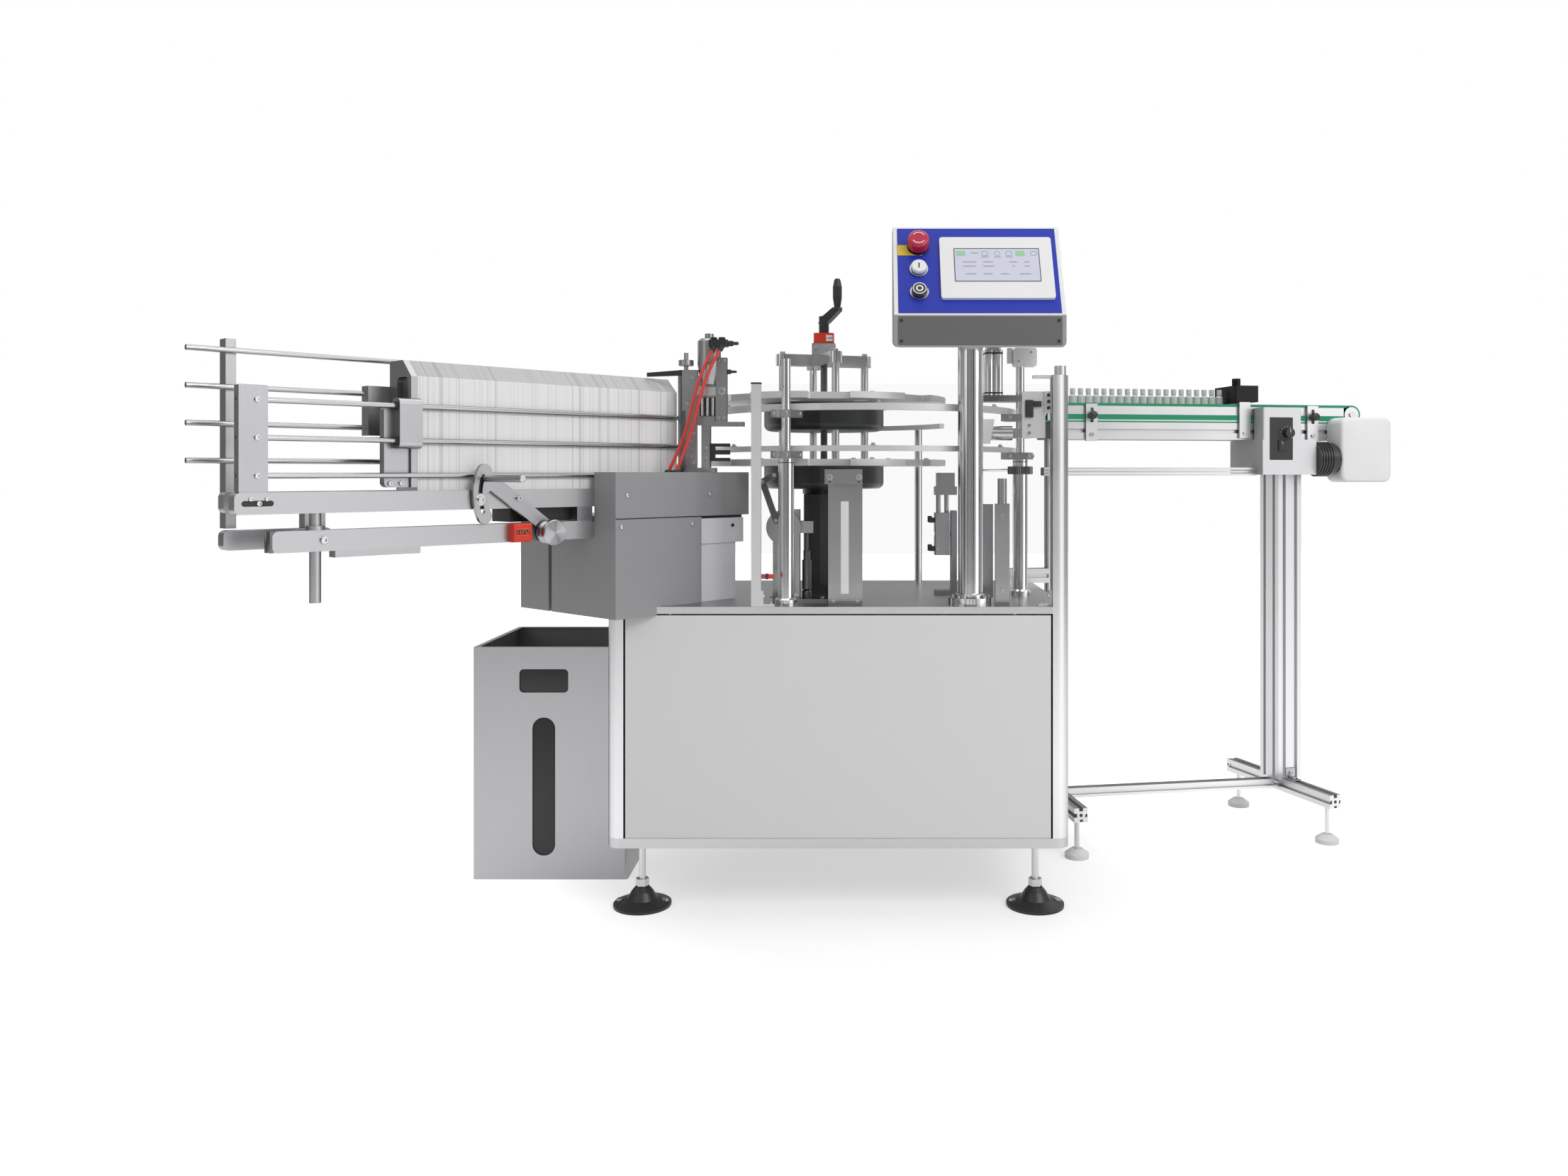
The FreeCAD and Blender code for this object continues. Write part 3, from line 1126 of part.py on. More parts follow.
def speed_knob():
    """Speed knob on the face of the control box."""
    return rod(DRIVE_BOX_START + SPEED_KNOB_ALONG, DRIVE_BOX_FRONT - SEAT,
               DRIVE_BOX_TOP - SPEED_KNOB_DROP, SPEED_KNOB_RADIUS, SPEED_KNOB_LENGTH, V(0, -1, 0))


def bottles():
    """Row of small bottles on the belt."""
    bottle = turned([(0, 0), (BOTTLE_RADIUS, 0), (BOTTLE_RADIUS, BOTTLE_SHOULDER_Z),
                     (BOTTLE_NECK_RADIUS, BOTTLE_CAP_Z), (BOTTLE_CAP_RADIUS, BOTTLE_CAP_Z),
                     (BOTTLE_CAP_RADIUS, BOTTLE_HEIGHT), (0, BOTTLE_HEIGHT)])
    return [placed(bottle, BOTTLE_START + k * BOTTLE_PITCH, BELT_MIDDLE, BELT_TOP)
            for k in range(BOTTLE_COUNT)]


def groove_places(size):
    """Middles of the grooves across one side of an extruded profile."""
    count = max(1, round(size / SLOT_PITCH))
    return [(k + 0.5) * size / count - size / 2 for k in range(count)]


def slotted_bar(width, depth, length):
    """Extruded profile along Z with grooves down every side."""
    bar = block(-width / 2, -depth / 2, 0, width, depth, length)
    grooves = []
    for side in (-1, 1):
        for across in groove_places(width):
            grooves.append(block(across - SLOT_WIDTH / 2, side * depth / 2 - SLOT_DEPTH, 0,
                                 SLOT_WIDTH, 2 * SLOT_DEPTH, length))
        for across in groove_places(depth):
            grooves.append(block(side * width / 2 - SLOT_DEPTH, across - SLOT_WIDTH / 2, 0,
                                 2 * SLOT_DEPTH, SLOT_WIDTH, length))
    return bar.cut(grooves)


def profile_bar(x, y, z, dx, dy, dz, axis):
    """Extruded profile from its lowest corner, its three sizes and its long axis."""
    middle = V(x + dx / 2, y + dy / 2, z + dz / 2)
    sizes = {"x": (dz, dy, dx), "y": (dx, dz, dy), "z": (dx, dy, dz)}
    turns = {"x": (V(0, 1, 0), 90), "y": (V(1, 0, 0), 90), "z": (UP, 0)}
    bar = slotted_bar(*sizes[axis])
    bar.translate(V(0, 0, -sizes[axis][2] / 2))
    bar.rotate(V(0, 0, 0), *turns[axis])
    bar.translate(middle)
    return bar


def angle_bracket(x, y, side):
    """Small angle on the deck against an upright face, towards one side."""
    low_x = x if side > 0 else x - ANGLE_LEG
    high_x = x if side > 0 else x - ANGLE_THICKNESS
    low = block(low_x, y, DECK_TOP, ANGLE_LEG, GUARD_BAR_THICKNESS, ANGLE_THICKNESS)
    high = block(high_x, y, DECK_TOP, ANGLE_THICKNESS, GUARD_BAR_THICKNESS,
                 ANGLE_LEG + ANGLE_THICKNESS)
    return fused([low, high])


def cam_bracket():
    """Two deck plates that carry a cam disc and a small arm."""
    back = CAM_FRONT_Y + CAM_THICKNESS
    left = CAM_X - 2 * CAM_PLATE
    tall_x = left + CAM_PLATE + CAM_PLATE_GAP
    foot = block(left, back - CAM_FOOT_EDGE, DECK_TOP, CAM_FOOT_LENGTH,
                 CAM_PLATE_DEPTH + 2 * CAM_FOOT_EDGE, CAM_FOOT)
    short = block(left, back, DECK_TOP, CAM_PLATE, CAM_PLATE_DEPTH, CAM_PLATE_HEIGHT)
    tall = block(tall_x, back, DECK_TOP, CAM_PLATE, CAM_PLATE_DEPTH,
                 CAM_Z + CAM_RADIUS - DECK_TOP)
    arm = block(tall_x + CAM_PLATE, back, CAM_Z - CAM_ARM_HEIGHT / 2, CAM_ARM_LENGTH,
                CAM_PLATE_DEPTH, CAM_ARM_HEIGHT)
    cam = rod(CAM_X, back, CAM_Z, CAM_RADIUS, CAM_THICKNESS, V(0, -1, 0))
    return fused([foot, short, tall, arm, cam])


def press_bracket():
    """Side plate and foot of the twin cylinder."""
    front = PRESS_Y - PRESS_DEPTH / 2
    half = PRESS_WIDTH / 2
    side = block(PRESS_X + half, front, DECK_TOP, PRESS_PLATE, PRESS_DEPTH, PRESS_PLATE_HEIGHT)
    foot = block(PRESS_X - half, front, DECK_TOP, PRESS_WIDTH, PRESS_DEPTH, PRESS_FOOT)
    return fused([side, foot])


def deck_cylinders():
    """Dark air cylinders, lever and upright that stand on the deck."""
    lever = strap(CAM_FRONT_Y, LEVER_PLACES, LEVER_WIDTH, LEVER_THICKNESS)
    small = air_cylinder(SMALL_CYLINDER_RADIUS, SMALL_CYLINDER_LENGTH, SMALL_CYLINDER_ROD,
                         SMALL_CYLINDER_STROKE)
    small_y = CAM_FRONT_Y + CAM_THICKNESS + CAM_PLATE_DEPTH / 2
    small.translate(V(SMALL_CYLINDER_X, small_y, DECK_TOP + CAM_FOOT))
    upright = block(UPRIGHT_X - UPRIGHT_WIDTH / 2, UPRIGHT_Y - UPRIGHT_DEPTH / 2, DECK_TOP,
                    UPRIGHT_WIDTH, UPRIGHT_DEPTH, UPRIGHT_HEIGHT)
    return {"deck_cylinders": [lever, small, upright, twin_cylinder(), hanging_cylinder()]}


def strap(y, places, width, thickness):
    """Flat bar upright across the machine, through (x, z) places, with round ends."""
    pieces = []
    for (x0, z0), (x1, z1) in zip(places, places[1:]):
        bar = stadium(math.hypot(x1 - x0, z1 - z0), width, thickness)
        bar = placed(bar, 0, 0, 0, math.degrees(math.atan2(z1 - z0, x1 - x0)))
        bar.rotate(V(0, 0, 0), V(1, 0, 0), 90)
        bar.translate(V((x0 + x1) / 2, y, (z0 + z1) / 2))
        pieces.append(bar)
    return fused(pieces)


def air_cylinder(radius, length, rod_radius, stroke):
    """Upright air cylinder on the origin: foot, neck, barrel, collar and rod."""
    foot = radius * 1.5
    barrel = foot + radius / 2
    collar = barrel + length
    top = collar + 2 * radius
    return turned([(0, 0), (radius, 0), (radius, foot), (radius * 0.6, barrel), (radius, barrel),
                   (radius, collar), (radius * 0.75, collar), (radius * 0.75, top),
                   (rod_radius, top), (rod_radius, top + stroke), (0, top + stroke)])


def twin_cylinder():
    """Twin rod air cylinder with its two rods, yoke and guide plate."""
    front = PRESS_Y - PRESS_DEPTH / 2
    left = PRESS_X - PRESS_WIDTH / 2
    half_height = (TWIN_HEIGHT - TWIN_WAIST) / 2
    waist_z = TWIN_BOTTOM + half_height
    lower = rounded_block(left, front, TWIN_BOTTOM, PRESS_WIDTH, PRESS_DEPTH, half_height,
                          TWIN_CORNER)
    waist = rounded_block(left + 1, front + 1, waist_z, PRESS_WIDTH - 2, PRESS_DEPTH - 2,
                          TWIN_WAIST, TWIN_CORNER - 1)
    upper = rounded_block(left, front, waist_z + TWIN_WAIST, PRESS_WIDTH, PRESS_DEPTH,
                          half_height, TWIN_CORNER)
    top = TWIN_BOTTOM + TWIN_HEIGHT
    rods = [rod(PRESS_X + across, PRESS_Y, top, TWIN_ROD_RADIUS, TWIN_STROKE)
            for across in (-PRESS_WIDTH / 4, PRESS_WIDTH / 4)]
    yoke_z = top + TWIN_STROKE
    yoke = block(left, front, yoke_z, TWIN_YOKE_WIDTH, PRESS_DEPTH, TWIN_YOKE_HEIGHT)
    plate = block(left + TWIN_CORNER, front, yoke_z + TWIN_YOKE_HEIGHT, TWIN_PLATE_WIDTH,
                  PRESS_DEPTH, TWIN_PLATE_HEIGHT)
    return fused([lower, waist, upper] + rods + [yoke, plate])


def hanging_cylinder():
    """Level air cylinder clamped on the right guide column between the rings."""
    z = (UPPER_RING_Z + LOWER_RING_Z) / 2
    start = RIGHT_COLUMN_X - LEVEL_FROM_COLUMN
    holder_z = z - HOLDER_HEIGHT / 2
    holder_y = RIGHT_COLUMN_Y - LEVEL_FORWARD - SAFE_GAP
    barrel = rod(start, RIGHT_COLUMN_Y - LEVEL_FORWARD, z, LEVEL_RADIUS, LEVEL_LENGTH, V(1, 0, 0))
    holder = block(start + LEVEL_LENGTH, holder_y, holder_z, HOLDER_LENGTH, HOLDER_DEPTH,
                   HOLDER_HEIGHT)
    hole = rod(RIGHT_COLUMN_X, RIGHT_COLUMN_Y, holder_z, GUIDE_UPPER_RADIUS + RUNNING,
               HOLDER_HEIGHT)
    return fused([barrel, holder]).cut(hole)


def cylinder_bundle():
    """Four chrome cylinders side by side on a clamp plate of the right column."""
    floor = UPPER_RING_Z + 2 * UPPER_RING_THICKNESS
    left = BUNDLE_X - BUNDLE_PLATE / 2
    reach = RIGHT_COLUMN_X + GUIDE_LOWER_RADIUS - left
    plate = block(left, BUNDLE_Y - BUNDLE_PLATE / 2, floor, reach, BUNDLE_PLATE,
                  BUNDLE_PLATE_THICKNESS)
    hole = rod(RIGHT_COLUMN_X, RIGHT_COLUMN_Y, floor, GUIDE_UPPER_RADIUS + RUNNING,
               BUNDLE_PLATE_THICKNESS)
    stand_z = floor + BUNDLE_PLATE_THICKNESS
    half = BUNDLE_PITCH / 2
    barrels = [rod(BUNDLE_X + dx, BUNDLE_Y + dy, stand_z, BUNDLE_BARREL_RADIUS, BUNDLE_HEIGHT)
               for dx in (-half, half) for dy in (-half, half)]
    cap = rounded_block(BUNDLE_X - BUNDLE_CAP / 2, BUNDLE_Y - BUNDLE_CAP / 2,
                        stand_z + BUNDLE_HEIGHT, BUNDLE_CAP, BUNDLE_CAP, BUNDLE_CAP_HEIGHT, 6)
    return fused([plate.cut(hole), cap] + barrels)


def sensor_bracket():
    """White sensor box on top of the right column, with its small barrel."""
    left = RIGHT_COLUMN_X - GUIDE_LOWER_RADIUS
    box = rounded_block(left, RIGHT_COLUMN_Y - SENSOR_DEPTH / 2, GUIDE_TOP, SENSOR_WIDTH,
                        SENSOR_DEPTH, SENSOR_HEIGHT, 5, V(0, 1, 0))
    barrel = rod(left - SENSOR_BARREL_RADIUS, RIGHT_COLUMN_Y,
                 GUIDE_TOP + SENSOR_HEIGHT - SENSOR_BARREL_LENGTH, SENSOR_BARREL_RADIUS,
                 SENSOR_BARREL_LENGTH)
    return fused([box, barrel])


def exit_chute():
    """Bent chute on the panel post that leads cartons off the star."""
    top = CHUTE_BOTTOM + CHUTE_HEIGHT
    right = CHUTE_RIGHT - CHUTE_SLANT
    side = [(CHUTE_LEFT, CHUTE_Y, CHUTE_BOTTOM), (right, CHUTE_Y, CHUTE_BOTTOM),
            (CHUTE_RIGHT, CHUTE_Y, top), (CHUTE_LEFT, CHUTE_Y, top)]
    front = outline_prism(side, V(0, CHUTE_WALL, 0))
    floor = block(CHUTE_LEFT, CHUTE_Y, CHUTE_BOTTOM, right - CHUTE_LEFT, CHUTE_LIP, CHUTE_WALL)
    holder_z = CHUTE_BOTTOM + CHUTE_LIP
    holder = block(PANEL_POST_X - CHUTE_HOLDER / 2, PANEL_POST_Y, holder_z, CHUTE_HOLDER,
                   CHUTE_Y - PANEL_POST_Y, CHUTE_HOLDER)
    holder = holder.cut(rod(PANEL_POST_X, PANEL_POST_Y, holder_z, PANEL_POST_RADIUS,
                            CHUTE_HOLDER))
    return {"exit_chute": [fused([front, floor, holder]), sensor_bracket()]}


def clevis_plate():
    """Tall deck plate right of the panel post with the clevis on top of it."""
    plate = block(CLEVIS_X - CLEVIS_PLATE_WIDTH / 2, CLEVIS_Y - CLEVIS_PLATE_THICKNESS / 2,
                  DECK_TOP, CLEVIS_PLATE_WIDTH, CLEVIS_PLATE_THICKNESS, CLEVIS_PLATE_HEIGHT)
    pin = rod(CLEVIS_X, CLEVIS_Y, DECK_TOP + CLEVIS_PLATE_HEIGHT, CLEVIS_RADIUS, CLEVIS_HEIGHT)
    return fused([plate, pin])


def picker():
    """Carton picker on the upper cover: slide, guide block, head, side arm and tray."""
    floor = UPPER_COVER_TOP
    stand_z = floor + PICKER_BASE
    front = PICKER_Y - 12
    right = PICKER_X + GUIDE_BLOCK_WIDTH - PICKER_DEPTH
    left = PICKER_X - 2 * PICKER_RADIUS
    post_x = PICKER_X + 3 - PICKER_POST_WIDTH
    base = block(left, front - 4, floor, PICKER_BASE_WIDTH, PICKER_DEPTH + 8, PICKER_BASE)
    rail = block(left + 1, front, stand_z, PICKER_DEPTH, PICKER_DEPTH / 2, PICKER_RAIL_HEIGHT)
    post = block(post_x, front + 2, stand_z, PICKER_POST_WIDTH, PICKER_POST_WIDTH,
                 PICKER_POST_HEIGHT)
    face = block(post_x + 2, front - 5, stand_z, PICKER_POST_WIDTH - 2, 7, PICKER_FACE_HEIGHT)
    guide = block(PICKER_X - PICKER_DEPTH, front, GUIDE_BLOCK_Z, GUIDE_BLOCK_WIDTH, PICKER_DEPTH,
                  GUIDE_BLOCK_HEIGHT)
    bracket = block(PICKER_X - PICKER_DEPTH - ARM_BLOCK_WIDTH, front + 2, ARM_BLOCK_Z,
                    ARM_BLOCK_WIDTH, PICKER_POST_WIDTH - 2, ARM_BLOCK_HEIGHT)
    head = turned([(0, 0), (HEAD_NECK_RADIUS, 0), (PICKER_RADIUS, HEAD_TAPER),
                   (PICKER_RADIUS, HEAD_HEIGHT), (0, HEAD_HEIGHT)])
    head.translate(V(PICKER_X, PICKER_Y, HEAD_Z))
    side = block(right + 2, front, SIDE_ARM_Z, PICKER_DEPTH, PICKER_POST_WIDTH, SIDE_ARM_HEIGHT)
    tray = block(PICKER_X + 3, front, TRAY_Z, TRAY_LENGTH, PICKER_DEPTH - 2, TRAY_THICKNESS)
    disc_z = ARM_BLOCK_Z + ARM_BLOCK_HEIGHT
    return fused([base, rail, post, face, guide, bracket, head, side, disc_knob(left, disc_z), tray])


def disc_knob(x, z):
    """Knurled disc on a stem above the arm block."""
    low = DISC_THICKNESS * 0.8
    high = low + DISC_THICKNESS
    top = high + DISC_RADIUS
    knob = turned([(0, 0), (DISC_STEM_RADIUS, 0), (DISC_STEM_RADIUS, low), (DISC_RADIUS, low),
                   (DISC_RADIUS, high), (DISC_STEM_RADIUS, high), (DISC_STEM_RADIUS, top), (0, top)])
    knob.translate(V(x, PICKER_Y, z))
    return knob


def picker_cylinder():
    """Air cylinder on the picker head, and the block with the two tube sockets."""
    body = turned([(0, 0), (PICKER_RADIUS, 0), (PICKER_RADIUS, CAP_STEP),
                   (PICKER_RADIUS - 4, CAP_TOP), (CAP_STUD_RADIUS, CAP_TOP),
                   (CAP_STUD_RADIUS, CAP_STUD_TOP), (0, CAP_STUD_TOP)])
    body.translate(V(PICKER_X, PICKER_Y, HEAD_Z + HEAD_HEIGHT))
    first = V(*TUBE_ROUTES[0][0])
    manifold = rounded_block(PICKER_X + 2, first.y - 4, first.z + TUBE_SOCKET_LENGTH / 2,
                             MANIFOLD_WIDTH, MANIFOLD_DEPTH, MANIFOLD_HEIGHT, 3)
    sockets = []
    for route in TUBE_ROUTES:
        start = V(*route[0])
        back = start - V(*route[1])
        sockets.append(Part.makeCylinder(TUBE_SOCKET_RADIUS, TUBE_SOCKET_LENGTH, start, back))
    return body, fused([manifold] + sockets).cut(body)


def picker_fork():
    """Dark fork with two slots beside the picker post."""
    left = PICKER_X + 3
    front = PICKER_Y - PICKER_DEPTH / 2
    fork = block(left, front, FORK_Z, FORK_LENGTH, PICKER_POST_WIDTH - 2, FORK_HEIGHT)
    slots = [block(left + 8, front, FORK_Z + z, FORK_LENGTH, PICKER_DEPTH, FORK_SLOT)
             for z in (FORK_SLOT, FORK_HEIGHT - 2 * FORK_SLOT)]
    return fork.cut(slots)


def picker_arm():
    """Dark arm that reaches from the picker over the carton stack."""
    end = PICKER_X - PICKER_DEPTH - ARM_BLOCK_WIDTH
    tip = end - OVERARM_LENGTH
    top = ARM_BLOCK_Z + ARM_BLOCK_HEIGHT
    side = [(end, PICKER_Y, top - 10), (tip, PICKER_Y, top - 12), (tip, PICKER_Y, top - 5),
            (end, PICKER_Y, top)]
    return outline_prism(side, V(0, -TRAY_THICKNESS, 0))


def tube(points):
    """Round tube along straight runs joined by tangent arcs, and the radii of its arcs."""
    places = [V(*p) for p in points]
    edges = []
    radii = []
    start = places[0]
    for before, corner, after in zip(places, places[1:], places[2:]):
        arrive = (corner - before).normalize()
        leave = (after - corner).normalize()
        half_turn = arrive.getAngle(leave) / 2
        cut = BEND_SHARE * min((corner - before).Length, (after - corner).Length)
        radius = cut / math.tan(half_turn)
        first = corner - arrive * cut
        last = corner + leave * cut
        inwards = ((first + last) / 2 - corner).normalize()
        middle = corner + inwards * (radius / math.cos(half_turn) - radius)
        edges.append(Part.LineSegment(start, first).toShape())
        edges.append(Part.Arc(first, middle, last).toShape())
        radii.append(round(radius, 1))
        start = last
    edges.append(Part.LineSegment(start, places[-1]).toShape())
    ring = Part.Wire(Part.makeCircle(TUBE_RADIUS, places[0], places[1] - places[0]))
    return Part.Wire(edges).makePipeShell([ring], True, False), radii


def picker_group():
    """Picker, its dark parts and the two air tubes down to the cover."""
    tubes = []
    for route in TUBE_ROUTES:
        solid, radii = tube(route)
        tubes.append(solid)
        print("tube arc radii", radii)
    body, sockets = picker_cylinder()
    return {"picker": [fused([picker(), body])],
            "picker_fork": [picker_fork(), picker_arm(), sockets], "air_tubes": tubes}


def beam_links(upper_top):
    """Cross pieces between the beams, the back lug and the plate under the lower beam."""
    lower_top = LOWER_BEAM_Z + BEAM_HEIGHT
    span = MAGAZINE_SPAN - BEAM_WIDTH
    link = BEAM_HEIGHT
    ends = (BEAM_WIDTH, KNOB_X + 2 * KNOB_RADIUS + LINK_WIDTH)
    cross = [block(x, BEAM_WIDTH, upper_top - BEAM_HEIGHT + 5, link, span, 20) for x in ends]
    spacer = block(ends[1], 0, lower_top, link, BEAM_WIDTH, UPPER_BEAM_Z - lower_top)
    lug = rounded_block(BACK_BEAM_START, MAGAZINE_SPAN, LOWER_BEAM_Z + 2, LUG_LENGTH, BEAM_WIDTH,
                        BEAM_HEIGHT - 2, BEAM_CORNER, V(0, 1, 0))
    tie = block(STUD_X + link / 2, BEAM_WIDTH, LOWER_BEAM_Z + 5, link, span, 20)
    hanger = block(STUD_X + link / 2, MAGAZINE_SPAN, lower_top, link, BEAM_WIDTH,
                   UPPER_BEAM_Z - lower_top)
    under = block(UNDER_PLATE_START, 0, LOWER_BEAM_Z - UNDER_PLATE_THICKNESS, UNDER_PLATE_LENGTH,
                  BEAM_WIDTH, UNDER_PLATE_THICKNESS)
    return cross + [spacer, fused([lug, tie, hanger]), under]


def front_link():
    """Slotted arc link with its arm, bolted on the front beam."""
    centre = LINK_X + LINK_RADIUS
    half = LINK_WIDTH / 2
    arc = arc_bar(LINK_RADIUS, LINK_WIDTH, LINK_SWEEP, LINK_THICKNESS)
    slot = arc_bar(LINK_RADIUS, LINK_SLOT, LINK_SLOT_SWEEP, LINK_THICKNESS)
    for shape in (arc, slot):
        shape.rotate(V(0, 0, 0), V(1, 0, 0), 90)
        shape.translate(V(centre, -LINK_THICKNESS / 2, LINK_Z))
    y = -LINK_THICKNESS * 3 / 2
    arm = outline_prism([(LINK_X + half / 2, y, HANDLE_Z + 8), (LINK_X + 2 * half, y, HANDLE_Z + 5),
                         (LINK_X + 4.5 * half, y, LINK_ARM_BEND_Z), (KNOB_X + LINK_ARM_END, y, KNOB_Z + 13),
                         (KNOB_X - LINK_ARM_END, y, KNOB_Z + 8),
                         (LINK_X + 1.5 * half, y, LINK_Z + 5), (LINK_X + half / 2, y, LINK_Z - 2)],
                        V(0, LINK_THICKNESS, 0))
    end = rod(KNOB_X, y, KNOB_Z, LINK_ARM_END, LINK_THICKNESS, V(0, 1, 0))
    boss = rod(LINK_X, 0, LINK_BOLT_Z, LINK_BOSS_RADIUS, -y, V(0, -1, 0))
    plate = fused([arc, arm, end]).cut(slot)
    hole = rod(KNOB_X, y, KNOB_Z, KNOB_STEM_RADIUS + SEAT, LINK_THICKNESS, V(0, 1, 0))
    return fused([plate, boss]).cut(hole)


def arc_bar(radius, width, sweep, thickness):
    """Flat bar bent to an arc round the origin that faces -X, with round ends."""
    outer = Part.makeCylinder(radius + width / 2, thickness, V(0, 0, 0), UP, 2 * sweep)
    inner = Part.makeCylinder(radius - width / 2, thickness, V(0, 0, 0), UP, 2 * sweep)
    bar = placed(outer.cut(inner), 0, 0, 0, 180 - sweep)
    ends = [placed(rod(radius, 0, 0, width / 2, thickness), 0, 0, 0, 180 + side * sweep)
            for side in (-1, 1)]
    return fused([bar] + ends)


def link_handle():
    """Round handle that stands out of the slotted link."""
    return rod(HANDLE_X, -LINK_THICKNESS, HANDLE_Z, HANDLE_RADIUS, HANDLE_LENGTH, V(0, -1, 0))


def magazine_counter():
    """Counter housing on the lower beam, under the clamp knob."""
    return rounded_block(COUNTER_START, -COUNTER_DEPTH, LOWER_BEAM_Z, COUNTER_LENGTH,
                         COUNTER_DEPTH, COUNTER_HEIGHT, 4, V(1, 0, 0))


def belt(roller_z):
    """Belt loop round its two rollers, and the bed between them."""
    half = BELT_WIDTH / 2
    ends = (BELT_START + ROLLER_RADIUS, BELT_END - ROLLER_RADIUS)
    loop = belt_loop(ends, roller_z, ROLLER_RADIUS + BELT_THICKNESS)
    loop = loop.cut(belt_loop(ends, roller_z, ROLLER_RADIUS))
    clear = ROLLER_RADIUS + 2
    bed = block(ends[0] + clear, BELT_MIDDLE - half, roller_z - ROLLER_RADIUS,
                ends[1] - ends[0] - 2 * clear, BELT_WIDTH, 2 * ROLLER_RADIUS)
    rollers = [rod(x, BELT_MIDDLE - half, roller_z, ROLLER_RADIUS - SEAT, BELT_WIDTH, V(0, 1, 0))
               for x in ends]
    return {"conveyor_belt": [on_conveyor(loop)],
            "conveyor_bed": [on_conveyor(s) for s in [bed] + rollers]}


def stand(support_bottom, front):
    """Stand of slotted profiles: column, post, foot bars, lower bar, deck arm and feet."""
    column_bottom = FOOT_BAR_Z + FOOT_BAR
    half_post = STAND_POST / 2
    half_bar = FOOT_BAR / 2
    column = slotted_bar(STAND_SIZE, STAND_SIZE, DRIVE_BOX_BOTTOM - column_bottom)
    column.translate(V(0, 0, column_bottom))
    foot_bar = profile_bar(-half_bar, -FOOT_BAR_LENGTH / 2, FOOT_BAR_Z, FOOT_BAR, FOOT_BAR_LENGTH,
                           FOOT_BAR, "y")
    feet = [small_foot(0, side * (FOOT_BAR_LENGTH / 2 - SMALL_FOOT_RADIUS)) for side in (-1, 1)]
    post = slotted_bar(STAND_POST, STAND_POST, support_bottom - column_bottom)
    post = placed(post, 0, BELT_MIDDLE, column_bottom)
    lower = profile_bar(half_bar, BELT_MIDDLE - LOWER_BAR / 2, FOOT_BAR_Z + 4,
                        STAND_X - FOOT_BAR - SAFE_GAP, LOWER_BAR, LOWER_BAR, "x")
    arm = profile_bar(-half_post - DECK_ARM_LENGTH, BELT_MIDDLE - half_post, DECK_TOP,
                      DECK_ARM_LENGTH, STAND_POST, STAND_POST, "x")
    tie = profile_bar(-40, front - TIE_BAR_SIZE, TIE_BAR_Z, DRIVE_BOX_START + 40,
                      TIE_BAR_SIZE, TIE_BAR_SIZE, "x")

    def right(shape):
        return on_conveyor(placed(shape, STAND_X, BELT_MIDDLE, 0, STAND_TURN))

    def left(shape):
        return on_conveyor(placed(shape, 0, BELT_MIDDLE))

    return {"stand_columns": [right(column), on_conveyor(post)],
            "foot_bars": [left(foot_bar), right(foot_bar)],
            "stand_bars": [on_conveyor(lower), on_conveyor(arm), on_conveyor(tie)],
            "stand_feet": [place(foot) for place in (left, right) for foot in feet]}


def belt_brackets(front):
    """Slotted bracket plates on the belt frame, and the bridge that stops the bottles."""
    solids = []
    height = BRACKET_PLATE_TOP - BRACKET_PLATE_BOTTOM
    slot = rounded_block(BRACKET_PLATE_WIDTH / 2 - 4, -1, height / 2, 8, BRACKET_PLATE + 2,
                         height / 2 - 8, 3.5, V(0, 1, 0))
    plate = block(0, 0, 0, BRACKET_PLATE_WIDTH, BRACKET_PLATE, height).cut(slot)
    for start in (DRIVE_FOOT_LENGTH - 67, DRIVE_BOX_START + DRIVE_FOOT_LENGTH + 1):
        solids.append(placed(plate, start, front - BRACKET_PLATE, BRACKET_PLATE_BOTTOM))
    back = front + FRAME_WIDTH
    legs = [block(BOTTLE_STOP_START + 10, y, BRACKET_PLATE_BOTTOM + 8, BRACKET_PLATE_WIDTH,
                  BRACKET_PLATE, BOTTLE_STOP_BOTTOM - BRACKET_PLATE_BOTTOM)
            for y in (front - BRACKET_PLATE, back)]
    bridge = rounded_block(BOTTLE_STOP_START, front - BRACKET_PLATE, BOTTLE_STOP_BOTTOM,
                           BOTTLE_STOP_LENGTH, FRAME_WIDTH + 2 * BRACKET_PLATE,
                           BOTTLE_STOP_TOP - BOTTLE_STOP_BOTTOM, 3)
    knob = rod(BOTTLE_STOP_START + BOTTLE_STOP_LENGTH / 2, BELT_MIDDLE, BOTTLE_STOP_TOP, 9, 18)
    solids.append(fused(legs + [bridge, knob]))
    return solids


def all_nodes():
    """Every sub-part of the machine by name, in the working frame."""
    nodes = {}
    for group in (cabinet, cabinet_feet, guard, operator_panel, turret, carton_guides,
                  front_bracket, deck_cylinders, exit_chute, magazine, covers, picker_group,
                  reject_bin, conveyor):
        nodes.update(group())
    return nodes


def machine_shift(nodes):
    """Move that puts the origin under the middle of the whole machine."""
    box = Part.makeCompound([s for solids in nodes.values() for s in solids]).BoundBox
    return V(-box.Center.x, -box.Center.y, -box.ZMin)


def main():
    """Write one file for each sub-part."""
    os.makedirs("parts", exist_ok=True)
    nodes = all_nodes()
    shift = machine_shift(nodes)
    for name, solids in nodes.items():
        for solid in solids:
            solid.translate(shift)
        shape = solids[0] if len(solids) == 1 else Part.makeCompound(solids)
        shape.exportStep("parts/" + name + ".step")
    print("shift", shift.x, shift.y, shift.z)


main()
